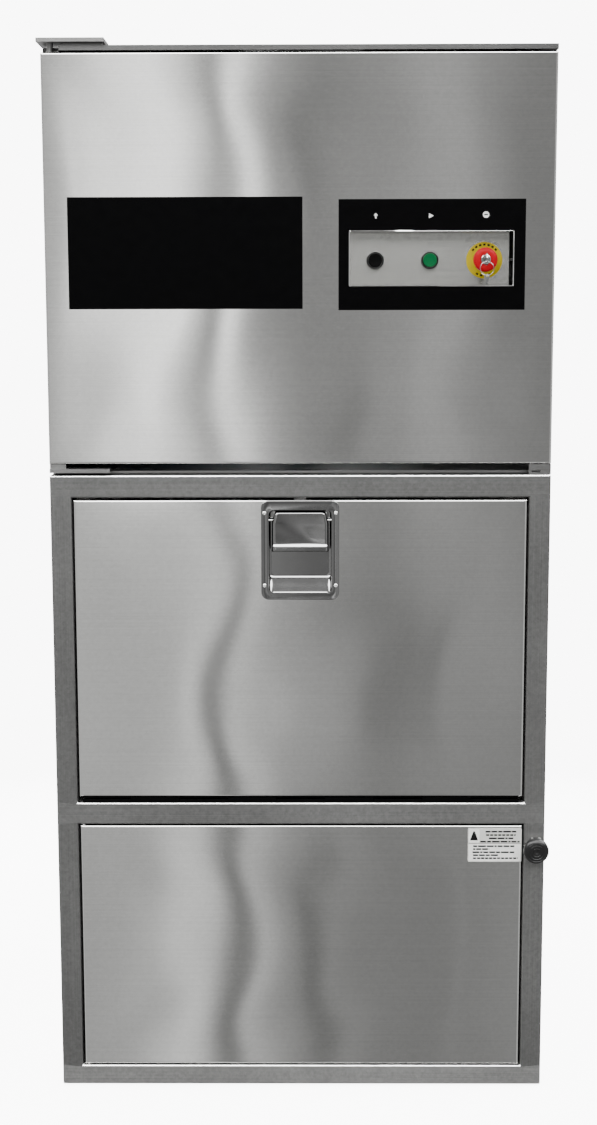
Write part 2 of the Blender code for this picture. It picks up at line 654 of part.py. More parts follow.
def build_container_door():
    pivot("container_door_pivot", (ROD_X, ROD_Y, CONTAINER_DOOR_BOTTOM))
    low = (-DOOR_HALF_WIDTH + 0.6, 0.0, CONTAINER_DOOR_BOTTOM)
    high = (DOOR_HALF_WIDTH, DOOR_DEPTH, CONTAINER_DOOR_TOP)
    door = place("container_door", tray(low, high, DOOR_SHEET, "+y"), stainless("container_door"),
                 "container_door_pivot")
    for z in (CONTAINER_DOOR_BOTTOM, CONTAINER_DOOR_TOP):
        cut(door, cylinder(ROD_RADIUS + 0.3, (ROD_X, ROD_Y, 0), "z", z - 4, z + 4))
    rod = cylinder(ROD_RADIUS, (ROD_X, ROD_Y, 0), "z", RAIL_BOTTOM_TOP + GAP, RAIL_MIDDLE_BOTTOM - GAP)
    place("container_hinge_rod", rod, plated("container_hinge_rod"), smooth=True)
    x0, x1, z0, z1 = LABEL
    label = box(x0, x1, -0.9, -GAP, z0, z1)
    place("info_label", label, painted("info_label", (0.8, 0.8, 0.78)), "container_door_pivot")


def build_turn_knob():
    at = (KNOB_X, 0, KNOB_Z)
    plate = ring(6.0, 15.8, at, "y", -2.3, -GAP)
    place("knob_escutcheon", plate, plated("knob_escutcheon"), smooth=True)
    pivot("knob_pivot", at)
    shaft = place("latch_shaft", cylinder(5.0, at, "y", -17.0, 34.0), plated("latch_shaft"), "knob_pivot",
                  smooth=True)
    join(shaft, box(KNOB_X - KNOB_RADIUS, KNOB_X + 4, -5.6, -2.6, KNOB_Z - 6, KNOB_Z + 6))
    profile = [(5.3, -6.0), (17.0, -6.0), (KNOB_RADIUS, -9.0), (KNOB_RADIUS, -17.0), (19.0, -21.0)]
    profile += [(12.0, -24.0), (0.0, -25.0), (0.0, -17.3), (5.3, -17.3)]
    body = turned_cap(profile, at, "y", 40)
    place("latch_knob", body, painted("latch_knob", (0.02, 0.02, 0.02)), "knob_pivot", smooth=True)


def turned_cap(profile, centre, axis, segments):
    """A turned shape with a blind bore: the profile meets the axis twice and closes on itself."""
    start = [radius < 1e-6 for radius, height in profile].index(True)
    outside = profile[: start + 1]
    bore = profile[start + 1 :]
    return turned([(0.0, bore[0][1])] + bore[1:] + outside, centre, axis, segments)


def build_press():
    floor_top = HEAD_FLOOR_TOP + GAP
    barrel = [(BARREL_INNER, floor_top), (60.0, floor_top), (60.0, floor_top + 11), (BARREL_OUTER, floor_top + 11)]
    barrel += [(BARREL_OUTER, BARREL_TOP), (0.0, BARREL_TOP), (0.0, BARREL_TOP - 10)]
    barrel += [(BARREL_INNER, BARREL_TOP - 10)]
    body = turned_cap(barrel, (0, PRESS_Y, 0), "z", 32)
    place("cylinder_barrel", body, painted("cylinder_barrel", (0.12, 0.13, 0.14)), smooth=True)
    pivot("ram_pivot", (0.0, PRESS_Y, PLATEN_BOTTOM))
    z1 = PLATEN_BOTTOM + PLATEN_THICKNESS
    x = PLATEN_HALF_WIDTH
    half = [(x, PLATEN_BOTTOM), (x, z1), (110.0, z1), (110.0, z1 + RIB_HEIGHT), (70.0, z1 + RIB_HEIGHT), (70.0, z1)]
    platen = prism(half + mirrored(reversed(half)), "y", *PLATEN_Y)
    place("platen", platen, painted("platen", (0.3, 0.3, 0.29)), "ram_pivot")
    rod = [(0.0, z1 + GAP), (45.0, z1 + GAP), (45.0, z1 + 14), (ROD_RAM_RADIUS, z1 + 14)]
    rod += [(ROD_RAM_RADIUS, BARREL_TOP - 25), (0.0, BARREL_TOP - 25)]
    place("ram_rod", turned(rod, (0, PRESS_Y, 0), "z", 32), plated("ram_rod"), "ram_pivot", smooth=True)


def build_power_unit():
    low = HEAD_FLOOR_TOP + GAP
    tank = box(-390.0, -110.0, 430.0, 730.0, low, 1340.0)
    place("hydraulic_tank", tank, painted("hydraulic_tank", (0.05, 0.12, 0.2)))
    low = 1340.0 + GAP
    motor = [(0.0, low), (95.0, low), (95.0, low + 12), (62.0, low + 12), (62.0, low + 50), (78.0, low + 50)]
    motor += [(78.0, low + 240), (68.0, low + 262), (0.0, low + 262)]
    body = turned(motor, (-270.0, 580.0, 0), "z", 32)
    place("pump_motor", body, painted("pump_motor", (0.2, 0.22, 0.24)), smooth=True)
    valves = box(-168.0, -115.0, 470.0, 560.0, low, 1410.0)
    place("valve_block", valves, material("valve_block_metal", (0.6, 0.6, 0.58), 1.0, 0.4))
    rubber = material("hose_rubber", (0.015, 0.015, 0.015), 0.0, 0.6)
    start = -115.0 + 0.6
    finish = -BARREL_OUTER - 0.8
    upper = [(start, 500.0, 1385.0), (start + 9, 500.0, 1385.0), (-88.0, 490.0, 1400.0), (-74.0, 450.0, 1520.0)]
    upper += [(-72.0, 395.0, 1630.0), (-56.0, PRESS_Y, 1652.0), (finish, PRESS_Y, 1654.0)]
    hose("hose_upper", upper, 7.0, rubber)
    lower = [(start, 530.0, 1368.0), (start + 9, 530.0, 1368.0), (-90.0, 522.0, 1345.0), (-78.0, 460.0, 1240.0)]
    lower += [(-72.0, 400.0, 1150.0), (-56.0, PRESS_Y, 1128.0), (finish, PRESS_Y, 1126.0)]
    hose("hose_lower", lower, 7.0, rubber)


def build_container():
    x = BIN_HALF_WIDTH
    low = CABINET_BOTTOM + 3.0 + GAP
    container = tray((-x, BIN_Y[0], low), (x, BIN_Y[1], BIN_TOP), SHEET, "+z")
    container = place("container", container, painted("container", (0.16, 0.17, 0.18)))
    outline = [(-70.0, BIN_Y[0] + 1), (-70.0, 42.0), (70.0, 42.0), (70.0, BIN_Y[0] + 1)]
    outline += [(60.0, BIN_Y[0] + 1), (60.0, 51.0), (-60.0, 51.0), (-60.0, BIN_Y[0] + 1)]
    join(container, prism(outline, "z", 384.0, 396.0))


def build():
    clear_scene()
    build_lower_frame()
    build_lower_cabinet()
    build_head()
    build_pivot_plates()
    build_head_door()
    build_controls()
    build_loading_door()
    build_container_door()
    build_turn_knob()
    build_press()
    build_power_unit()
    build_container()


build()
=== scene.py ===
"""Looks of the trash compactor: finished sheet metal, controls, latch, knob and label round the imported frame.

Shapes are built in millimetres: X to the right, Y back from the front plane, Z up from the floor.
"""

import json
import math

import bmesh
import bpy
from mathutils import Matrix, Vector


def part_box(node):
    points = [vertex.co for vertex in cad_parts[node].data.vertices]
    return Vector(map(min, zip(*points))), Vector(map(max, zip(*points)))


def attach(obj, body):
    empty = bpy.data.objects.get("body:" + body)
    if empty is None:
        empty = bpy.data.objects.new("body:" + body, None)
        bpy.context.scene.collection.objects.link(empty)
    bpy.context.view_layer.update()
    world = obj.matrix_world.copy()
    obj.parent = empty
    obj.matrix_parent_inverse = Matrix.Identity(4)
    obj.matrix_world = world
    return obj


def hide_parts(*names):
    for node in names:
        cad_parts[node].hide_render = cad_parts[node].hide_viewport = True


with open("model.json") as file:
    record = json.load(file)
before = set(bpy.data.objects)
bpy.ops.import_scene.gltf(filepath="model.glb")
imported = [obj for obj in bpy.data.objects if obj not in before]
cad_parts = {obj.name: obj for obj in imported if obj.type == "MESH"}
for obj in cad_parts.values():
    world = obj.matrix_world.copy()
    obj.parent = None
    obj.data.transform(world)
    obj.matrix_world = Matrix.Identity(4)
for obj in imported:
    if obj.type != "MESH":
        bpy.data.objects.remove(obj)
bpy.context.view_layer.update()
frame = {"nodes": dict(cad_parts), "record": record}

MM = 0.001
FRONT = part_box("stile_left")[0][1]
SHEET = 1.5
BEND = 3


# ---- frame sizes

def node_box(node):
    """A CAD node's (x0, x1, y0, y1, z0, z1) in millimetres, with Y measured back from the front plane."""
    low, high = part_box(node)
    return (
        low[0] / MM, high[0] / MM,
        (low[1] - FRONT) / MM, (high[1] - FRONT) / MM,
        low[2] / MM, high[2] / MM,
    )


def node_centre(node):
    x0, x1, y0, y1, z0, z1 = node_box(node)
    return ((x0 + x1) / 2, (y0 + y1) / 2, (z0 + z1) / 2)


def round_node(node):
    """A round node's radius, and the depths of its front and back."""
    x0, x1, front, back, _, _ = node_box(node)
    return (x1 - x0) / 2, front, back


def joint_place(name):
    """A point on a joint's axis, in millimetres."""
    for joint in frame["record"]["behaviour"]["joints"]:
        if joint["name"] == name:
            x, y, z = joint["pos_m"]
            return x / MM, (y - FRONT) / MM, z / MM
    raise LookupError(name)


BODIES = frame["record"]["behaviour"]["bodies"]
BODY_OF = {node: body for body, nodes in BODIES.items() for node in nodes}


# ---- mesh tools

def along(axis, a, b, h):
    return {"x": (h, a, b), "y": (a, h, b), "z": (a, b, h)}[axis]


def closed(mesh):
    bmesh.ops.recalc_face_normals(mesh, faces=mesh.faces)
    return mesh


def band(mesh, one, two):
    """Skin between two rings of vertices with the same count."""
    for k in range(len(one)):
        j = (k + 1) % len(one)
        mesh.faces.new((one[k], one[j], two[j], two[k]))


def loft(loops, cap_ends=True):
    """Skin between loops of points with the same count."""
    mesh = bmesh.new()
    rings = [[mesh.verts.new(point) for point in loop] for loop in loops]
    if cap_ends:
        mesh.faces.new(rings[0])
        mesh.faces.new(rings[-1])
    for one, two in zip(rings, rings[1:]):
        band(mesh, one, two)
    return closed(mesh)


def prism(outline, axis, low, high):
    """A closed outline, given in the two coordinates across the axis, extruded from low to high."""
    return loft([[along(axis, a, b, h) for a, b in outline] for h in (low, high)])


def box(x0, x1, y0, y1, z0, z1):
    return prism([(x0, y0), (x1, y0), (x1, y1), (x0, y1)], "z", z0, z1)


def arc(centre, radius, start, end, steps):
    """Points on an arc, with its angles in degrees."""
    turns = [math.radians(start + (end - start) * k / steps) for k in range(steps + 1)]
    return [(centre[0] + radius * math.cos(t), centre[1] + radius * math.sin(t)) for t in turns]


def turned(profile, centre, axis, segments=64):
    """A profile of (radius, coordinate along the axis) turned about an axis through centre."""
    mesh = bmesh.new()
    p, q = [place for place, way in zip(centre, "xyz") if way != axis]
    rings = []
    for radius, height in profile:
        turns = [2 * math.pi * k / segments for k in range(segments if radius else 1)]
        spots = [(p + radius * math.cos(t), q + radius * math.sin(t)) for t in turns]
        rings.append([mesh.verts.new(along(axis, a, b, height)) for a, b in spots])
    pairs = list(zip(rings, rings[1:]))
    if len(rings[0]) > 1:
        pairs.append((rings[-1], rings[0]))
    for one, two in pairs:
        for k in range(segments):
            j = (k + 1) % segments
            if len(one) == 1 and len(two) == 1:
                break
            if len(one) == 1:
                mesh.faces.new((one[0], two[k], two[j]))
            elif len(two) == 1:
                mesh.faces.new((one[k], one[j], two[0]))
            else:
                mesh.faces.new((one[k], one[j], two[j], two[k]))
    return closed(mesh)


def bar(radius, low, high, centre, axis, segments=24):
    """A plain round bar."""
    return turned([(0, low), (radius, low), (radius, high), (0, high)], centre, axis, segments)


def from_face(face, profile):
    """A turned profile whose depths are measured from a face."""
    return [(radius, face + depth) for radius, depth in profile]


def rounded_loop(x0, x1, z0, z1, radius, steps=6):
    """The outline of a rounded rectangle."""
    points = []
    left, right = x0 + radius, x1 - radius
    low, high = z0 + radius, z1 - radius
    for quarter, centre in enumerate(((right, high), (left, high), (left, low), (right, low))):
        points += arc(centre, radius, 90 * quarter, 90 * quarter + 90, steps)
    return points


def face_front(mesh):
    """Turn an open skin's normals to the front."""
    closed(mesh)
    if sum(f.normal.y * f.calc_area() for f in mesh.faces) > 0:
        bmesh.ops.reverse_faces(mesh, faces=mesh.faces)
    return mesh


def merge(mesh, other):
    """Two closed shapes in one mesh, for pieces that are made of touching parts."""
    scratch = bpy.data.meshes.new("scratch")
    other.to_mesh(scratch)
    other.free()
    mesh.from_mesh(scratch)
    bpy.data.meshes.remove(scratch)
    return mesh


def node_mesh(node):
    """A copy of a CAD node's own mesh, in millimetres."""
    mesh = bmesh.new()
    mesh.from_mesh(frame["nodes"][node].data)
    for v in mesh.verts:
        v.co = (v.co.x / MM, (v.co.y - FRONT) / MM, v.co.z / MM)
    flat = math.radians(0.5)
    bmesh.ops.dissolve_limit(mesh, angle_limit=flat, verts=mesh.verts, edges=mesh.edges)
    return mesh


def make(name, mesh, mat, smooth_angle=40):
    """An object in metres from a mesh in millimetres."""
    for v in mesh.verts:
        v.co = (v.co.x * MM, FRONT + v.co.y * MM, v.co.z * MM)
    data = bpy.data.meshes.new(name)
    mesh.to_mesh(data)
    mesh.free()
    for each in mat if isinstance(mat, (list, tuple)) else [mat]:
        data.materials.append(each)
    obj = bpy.data.objects.new(name, data)
    bpy.context.collection.objects.link(obj)
    data.shade_smooth()
    data.set_sharp_from_angle(angle=math.radians(smooth_angle))
    return obj


def bevel(obj, width, segments=3, angle=35):
    step = obj.modifiers.new("edge", "BEVEL")
    step.width = width * MM
    step.segments = segments
    step.limit_method = "ANGLE"
    step.angle_limit = math.radians(angle)
    step.harden_normals = True


def thicken(obj, thickness):
    """Give an open skin its metal thickness, behind the face."""
    step = obj.modifiers.new("sheet", "SOLIDIFY")
    step.thickness = thickness * MM
    step.offset = -1


def carve(obj, *meshes):
    """Cut shapes out of an object for good."""
    for mesh in meshes:
        tool = make("tool", mesh, obj.data.materials[0])
        step = obj.modifiers.new("cut", "BOOLEAN")
        step.operation = "DIFFERENCE"
        step.solver = "EXACT"
        step.object = tool
        settle(obj)
        data = tool.data
        bpy.data.objects.remove(tool)
        bpy.data.meshes.remove(data)


def settle(obj):
    """Apply an object's modifiers to its mesh."""
    graph = bpy.context.evaluated_depsgraph_get()
    graph.update()
    data = bpy.data.meshes.new_from_object(obj.evaluated_get(graph), depsgraph=graph)
    old = obj.data
    obj.modifiers.clear()
    obj.data = data
    bpy.data.meshes.remove(old)


def fit(obj, node, *more):
    """The piece stands for these CAD nodes: it rides on their body and hides them."""
    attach(obj, BODY_OF[node])
    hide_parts(node, *more)
    return obj


def lathe(name, profile, x, z, mat, segments=72, smooth_angle=40):
    """A round piece about an axis that runs from front to back."""
    return make(name, turned(profile, (x, 0, z), "y", segments), mat, smooth_angle)


def add(obj, node):
    """The piece is fixed to the body of a CAD node, without replacing it."""
    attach(obj, BODY_OF[node])
    return obj


# ---- materials

class Nodes:
    """Short calls that build a node tree."""

    def __init__(self, tree):
        self.tree = tree

    def feed(self, value, socket):
        if isinstance(value, bpy.types.NodeSocket):
            self.tree.links.new(value, socket)
        else:
            socket.default_value = value

    def node(self, kind, sockets=(), **settings):
        """A node with its settings, and its inputs fed by name or number."""
        made = self.tree.nodes.new("ShaderNode" + kind)
        for key, value in settings.items():
            setattr(made, key, value)
        for key, value in dict(sockets).items():
            self.feed(value, made.inputs[key])
        return made

    def math(self, operation, *values):
        return self.node("Math", enumerate(values), operation=operation).outputs[0]

    def span(self, source, start, end, low=0, high=1, kind="LINEAR"):
        """A value's way from start to end, turned into low to high."""
        sockets = enumerate((source, start, end, low, high))
        return self.node("MapRange", sockets, interpolation_type=kind).outputs["Result"]


class Shader(Nodes):
    """A Principled material."""

    def __init__(self, name, color, metallic, roughness, **uniform):
        self.mat = bpy.data.materials.new(name)
        self.mat.use_nodes = True
        super().__init__(self.mat.node_tree)
        self.bsdf = self.tree.nodes["Principled BSDF"]
        self.color = color
        values = {"Base Color": (*color, 1), "Metallic": metallic, "Roughness": roughness}
        for key, value in {**values, **uniform}.items():
            self.feed(value, self.bsdf.inputs[key.replace("_", " ")])
        self.coord = self.node("TexCoord")

    def noise(self, scale, detail=3, roughness=0.5, distortion=0):
        """Noise in object space, with a scale for each axis in repeats per metre."""
        mapping = self.node("Mapping", {"Vector": self.coord.outputs["Object"], "Scale": scale})
        sockets = {"Vector": mapping.outputs["Vector"], "Scale": 1, "Detail": detail}
        sockets.update({"Roughness": roughness, "Distortion": distortion})
        return self.node("TexNoise", sockets).outputs["Fac"]

    def spread(self, source, low, high):
        """Noise stretched from low to high: most of it lies between 0.3 and 0.7."""
        return self.span(source, 0.3, 0.7, low, high)

    def vary_color(self, source, dark, light):
        """Base colour scaled between two factors."""
        low = [c * dark for c in self.color]
        high = [min(1, c * light) for c in self.color]
        mix = self.node("Mix", {0: source, 6: (*low, 1), 7: (*high, 1)}, data_type="RGBA")
        self.feed(mix.outputs[2], self.bsdf.inputs["Base Color"])

    def vary_roughness(self, source, low, high):
        self.feed(self.spread(source, low, high), self.bsdf.inputs["Roughness"])

    def bump(self, source, strength, distance):
        made = self.node("Bump", {"Strength": strength, "Distance": distance * MM, "Height": source})
        self.feed(made.outputs["Normal"], self.bsdf.inputs["Normal"])


# Noise repeats per metre on each axis: long along the grain, fine across it.
GRAIN = {"x": (1.5, 900, 900), "z": (900, 900, 1.5), "y": (900, 1.5, 900)}


def brushed(name, color, roughness, grain, anisotropy, contrast, coarse=1, relief=0.08):
    """Brushed stainless: fine lines along the grain, faint smears, and highlights drawn out across it."""
    steel = Shader(name, color, 1, roughness, Anisotropic=anisotropy)
    tangent = steel.node("Tangent", direction_type="RADIAL", axis=grain.upper())
    steel.feed(tangent.outputs["Tangent"], steel.bsdf.inputs["Tangent"])
    fine = steel.noise(tuple(n * coarse for n in GRAIN[grain]), 3, 0.6)
    mottle = steel.noise((170, 170, 170), 3, 0.7)
    smear = steel.noise((3, 3, 2), 4, 0.55, 0.6)
    lines = steel.math("ADD", steel.spread(fine, 0, 0.5), steel.spread(mottle, 0, 0.5))
    steel.vary_color(lines, 1 - contrast, 1 + 0.6 * contrast)
    steel.vary_roughness(smear, roughness * 0.85, roughness * 1.25)
    steel.bump(fine, relief, 0.05)
    return steel.mat


def polished(name, color, roughness):
    """Bright pressed or plated metal with fine handling scratches."""
    steel = Shader(name, color, 1, roughness)
    scratch = steel.noise((60, 60, 900), 2, 0.6, 0.4)
    smear = steel.noise((25, 25, 25), 4)
    steel.vary_color(smear, 0.9, 1.03)
    steel.vary_roughness(smear, roughness * 0.7, roughness * 1.7)
    steel.bump(scratch, 0.05, 0.03)
    return steel.mat


def moulded(name, color, roughness, grain=0.12, gloss=0.5, coat=0):
    """Moulded plastic with a fine texture and slight shade changes."""
    plastic = Shader(name, color, 0, roughness, Coat_Weight=coat, Coat_Roughness=0.12,
                     Specular_IOR_Level=gloss)
    texture = plastic.noise((2600, 2600, 2600), 2)
    cloud = plastic.noise((60, 60, 60), 3)
    plastic.vary_color(cloud, 0.88, 1.1)
    plastic.vary_roughness(cloud, roughness - 0.05, roughness + 0.08)
    plastic.bump(texture, grain, 0.06)
    return plastic.mat


def enamel(name, color, roughness=0.42):
    """Sprayed enamel with light orange peel."""
    paint = Shader(name, color, 0, roughness, Coat_Weight=0.25, Coat_Roughness=0.25)
    peel = paint.noise((420, 420, 420), 2)
    dust = paint.noise((14, 14, 14), 5, 0.6)
    paint.vary_color(dust, 0.85, 1.12)
    paint.vary_roughness(dust, roughness - 0.06, roughness + 0.12)
    paint.bump(peel, 0.15, 0.08)
    return paint.mat


STEEL_FRONT = brushed("stainless_front", (0.6, 0.6, 0.585), 0.075, "x", 0.82, 0.1)
# The frame's rails and stiles are copies of one steel at different colours, as painted shade, darkest on the
# top rail.
RAIL_TOP_PAINTED_SHADE = brushed("stainless_rail_top_painted_shade", (0.095, 0.095, 0.093), 0.5, "x", 0.4, 0.34)
RAIL_MIDDLE_PAINTED_SHADE = brushed("stainless_rail_middle_painted_shade", (0.108, 0.108, 0.106), 0.5, "x", 0.4, 0.34)
RAIL_BOTTOM_PAINTED_SHADE = brushed("stainless_rail_bottom_painted_shade", (0.18, 0.18, 0.176), 0.5, "x", 0.4, 0.34)
STILE_PAINTED_SHADE = brushed("stainless_stile_painted_shade", (0.15, 0.15, 0.147), 0.5, "z", 0.4, 0.34)
# Painted highlight: a bright copy of the steel for the frame's upward-facing edge bevels.
EDGE_PAINTED_HIGHLIGHT = brushed("stainless_edge_painted_highlight", (0.8, 0.8, 0.79), 0.22, "x", 0.3, 0.1)
FRAME_SHADES_AND_HIGHLIGHT = [RAIL_BOTTOM_PAINTED_SHADE, STILE_PAINTED_SHADE, RAIL_TOP_PAINTED_SHADE, RAIL_MIDDLE_PAINTED_SHADE, EDGE_PAINTED_HIGHLIGHT]
# The frame's face grid has five rows: rails in the even ones, only stiles in the odd ones. Each rail row takes
# its own painted shade.
RAIL_PAINTED_SHADE = {0: RAIL_BOTTOM_PAINTED_SHADE, 2: RAIL_MIDDLE_PAINTED_SHADE, 4: RAIL_TOP_PAINTED_SHADE}
STEEL_SIDE = brushed("stainless_side", (0.46, 0.46, 0.45), 0.2, "y", 0.8, 0.15, 0.3, 0.02)
STEEL_BACK = brushed("stainless_back", (0.44, 0.44, 0.43), 0.22, "x", 0.75, 0.15, 0.3, 0.02)
STEEL_TOP = brushed("stainless_top", (0.19, 0.19, 0.186), 0.24, "x", 0.8, 0.24, 0.3, 0.02)
STEEL_PANEL = brushed("stainless_panel", (0.5, 0.5, 0.475), 0.2, "x", 0.8, 0.28)
# Painted shade: a darker copy of the steel for the top cover's front flange.
TOP_COVER_PAINTED_SHADE = brushed("stainless_painted_shade", (0.085, 0.085, 0.084), 0.34, "x", 0.6, 0.25)
STEEL_PLATE = brushed("stainless_plate", (0.2, 0.2, 0.196), 0.28, "x", 0.6, 0.2)
# Painted shade: the hinge leaves and pin are near-black so that the gap they sit in reads as shade.
HINGE_PAINTED_SHADE = moulded("hinge_painted_shade_black", (0.0015, 0.0015, 0.0015), 0.85, 0.1, 0.02)
STEEL_INNER = brushed("stainless_inner", (0.38, 0.38, 0.37), 0.36, "x", 0.4, 0.16, 0.3, 0.02)
CHROME = polished("bright_plating", (0.66, 0.66, 0.65), 0.08)
PRESSED = polished("pressed_stainless", (0.215, 0.215, 0.213), 0.07)
SATIN = polished("satin_plating", (0.86, 0.86, 0.85), 0.3)
KEY_METAL = polished("key_nickel", (0.36, 0.36, 0.35), 0.12)
BLACK_LAMINATE = moulded("black_laminate", (0.0008, 0.0008, 0.0009), 0.45, 0.03, 0.02)
BLACK_KNOB = moulded("black_phenolic", (0.004, 0.004, 0.004), 0.33, 0.12, 0.25, 0.05)
BLACK_CAP = moulded("black_cap", (0.0015, 0.0015, 0.0016), 0.5, 0.15, 0.03)
GREEN_CAP = moulded("green_cap", (0.0004, 0.078, 0.022), 0.42, 0.12, 0.12)
RED_CAP = moulded("red_cap", (0.36, 0.0005, 0.006), 0.42, 0.1, 0.12)
YELLOW = moulded("yellow_disc", (0.43, 0.33, 0.004), 0.45, 0.12, 0.15)
GREY_COLLAR = moulded("grey_collar", (0.12, 0.12, 0.12), 0.5)
INK = moulded("black_ink", (0.003, 0.003, 0.003), 0.5, 0.02, 0.1)
GREY_INK = moulded("grey_ink", (0.008, 0.008, 0.008), 0.6, 0.02, 0.1)
WHITE_INK = moulded("white_ink", (0.85, 0.85, 0.84), 0.5, 0.02)
LABEL_FILM = moulded("label_film", (0.6, 0.6, 0.57), 0.45, 0.03, 0.5, 0.1)
LABEL_WHITE = moulded("label_white", (0.86, 0.86, 0.83), 0.45, 0.03, 0.5, 0.1)
RUBBER = moulded("skid_rubber", (0.02, 0.02, 0.02), 0.75, 0.5)
GREY_ENAMEL = enamel("grey_enamel", (0.3, 0.31, 0.32))
BLACK_ENAMEL = enamel("black_enamel", (0.035, 0.037, 0.04))
BLUE_ENAMEL = enamel("blue_enamel", (0.03, 0.1, 0.2))
PLATEN_PAINT = enamel("platen_paint", (0.22, 0.22, 0.215), 0.5)
ALLOY = polished("machined_alloy", (0.6, 0.6, 0.59), 0.3)
HOSE = moulded("hose_cover", (0.012, 0.012, 0.012), 0.6, 0.4)


# ---- sheet-metal pans

# How each door sheet wavers: amplitude, wavelength, start, sweep, sweep height and sweep start.
WAVES = {
    "head_door": (0.4, 420, 0.4, 1.5, 640, 2.4),
    "loading_door": (0.38, 400, 0.6, 1.5, 560, 0.4),
    "container_door": (0.34, 410, 0.3, 1.4, 520, 1.5),
}
# The face lies this far behind the CAD skin, so that the ripple stays inside it.
WAVER = 0.5
# The ripple grows from nothing at a bend to full size at this distance.
FADE = 120


def ripple(x, z, wave):
    """The depth of a thin sheet's oil-canning at a place, in millimetres."""
    size, length, start, sweep, height, turn = wave
    bend = sweep * math.sin(2 * math.pi * z / height + turn)
    main = math.sin(2 * math.pi * x / length + start + bend)
    minor = math.sin(2 * math.pi * (x + 0.5 * z) / 230 + turn)
    fine = math.sin(2 * math.pi * (x - 0.2 * z) / 105 + 3 * turn + math.sin(z / 60))
    return size * (0.84 * main + 0.13 * minor + 0.03 * fine)


def stations(low, high, count):
    """Grid lines across a sheet, with a tight pair at each end so that the bends stay crisp."""
    hold = 0.8
    inner = [low + hold + (high - low - 2 * hold) * k / count for k in range(count + 1)]
    return [low] + inner + [high]


def pan(name, node, mat, lip=14, openings=(), cells=52):
    """A folded sheet pan, open at the back: a faintly rippled face, rounded bends, walls and return lips."""
    x0, x1, y0, y1, z0, z1 = node_box(node)
    wave = WAVES[node]
    xs = stations(x0 + BEND, x1 - BEND, cells)
    zs = stations(z0 + BEND, z1 - BEND, int(cells * (z1 - z0) / (x1 - x0)))
    columns = len(xs) - 1
    rows = len(zs) - 1
    mesh = bmesh.new()

    def spot(i, j, inset, depth):
        x = {0: x0 + inset, columns: x1 - inset}.get(i, xs[i])
        z = {0: z0 + inset, rows: z1 - inset}.get(j, zs[j])
        edge = min(x - x0, x1 - x, z - z0, z1 - z)
        fade = min(1, max(0, (edge - BEND) / FADE))
        fade = fade * fade * (3 - 2 * fade)
        return (x, y0 + depth + WAVER + fade * ripple(x, z, wave), z)

    def tile(grid):
        for i in range(columns):
            for j in range(rows):
                mesh.faces.new((grid[i, j], grid[i + 1, j], grid[i + 1, j + 1], grid[i, j + 1]))

    face = {}
    for i in range(columns + 1):
        for j in range(rows + 1):
            face[i, j] = mesh.verts.new(spot(i, j, BEND, 0))
    tile(face)
    rim = [(i, 0) for i in range(columns)] + [(columns, j) for j in range(rows)]
    rim += [(i, rows) for i in range(columns, 0, -1)] + [(0, j) for j in range(rows, 0, -1)]
    turns = [math.radians(22.5 * k) for k in (1, 2, 3, 4)]
    back = y1 - y0 - WAVER
    inner = BEND - SHEET
    roll = 1.2
    roll_middle = 0.35
    ease = 0.3
    steps = [(BEND * (1 - math.sin(t)), BEND * (1 - math.cos(t))) for t in turns]
    steps += [(0, back - roll), (roll_middle, back - roll_middle), (roll, back), (lip, back)]
    steps += [(lip, back - SHEET), (SHEET + ease, back - SHEET), (SHEET, back - SHEET - ease), (SHEET, BEND)]
    steps += [(BEND - inner * math.cos(t), BEND - inner * math.sin(t)) for t in turns]
    last = [face[k] for k in rim]
    for inset, depth in steps:
        ring = [mesh.verts.new(spot(i, j, inset, depth)) for i, j in rim]
        band(mesh, last, ring)
        last = ring
    inside = dict(zip(rim, last))
    for i in range(1, columns):
        for j in range(1, rows):
            inside[i, j] = mesh.verts.new(spot(i, j, BEND, SHEET))
    tile(inside)
    obj = make(name, closed(mesh), mat, 50)
    if openings:
        carve(obj, *openings)
    return fit(obj, node)


def finished(node, mat, width, segments=2):
    """A CAD node's own shape with rounded edges and a finished surface."""
    obj = make(node + "_finished", node_mesh(node), mat, 35)
    bevel(obj, width, segments)
    return fit(obj, node)


PIVOT_BORE = 5.6
ROD_BORE = 3.3
PIN_REACH = 4
# The latch opening in the loading door: half its width, and how far it stays inside the cup's top and bottom.
LATCH_HALF_WIDTH = 56
LATCH_INSET = (7.1, 12.7)
BOLT_PLAY = 1
# How far the window lies inside the black bezel: left, right, bottom, top.
WINDOW_INSET = (17, 18.4, 38.3, 50.3)


def end_holes(node, radius, x, y):
    """Upright holes through a door's bottom and top walls."""
    z0, z1 = node_box(node)[4:]
    return [bar(radius, z - PIN_REACH, z + PIN_REACH, (x, y, 0), "z") for z in (z0, z1)]


def build_doors():
    px, py, _ = joint_place("head_door_hinge")
    pins = end_holes("head_door", PIVOT_BORE, px, py)
    pan("head_door_skin", "head_door", STEEL_FRONT, openings=[box(*window_box())] + pins)
    cz0, cz1 = node_box("latch_cup")[4:]
    bx0, bx1, by0, by1, _, top = node_box("latch_bolt")
    low, high = LATCH_INSET
    opening = box(-LATCH_HALF_WIDTH, LATCH_HALF_WIDTH, -3, 4, cz0 + low, cz1 - high)
    slot = box(bx0 - BOLT_PLAY, bx1 + BOLT_PLAY, by0 - BOLT_PLAY, by1 + 0.3, top - 4.5, top + 3)
    pan("loading_door_skin", "loading_door", STEEL_FRONT, openings=[opening, slot])
    rod = node_centre("container_hinge_rod")
    holes = end_holes("container_door", ROD_BORE, rod[0], rod[1])
    pan("container_door_skin", "container_door", STEEL_FRONT, openings=holes)


def window_box():
    """The control window through the upper door, as the black bezel's inner edge."""
    x0, x1, _, _, z0, z1 = node_box("control_bezel")
    left, right, bottom, top = WINDOW_INSET
    return (x0 + left, x1 - right, -6, 6, z0 + bottom, z1 - top)


SHAFT_BORE = 5.6
TUBE_EDGE = 2.6


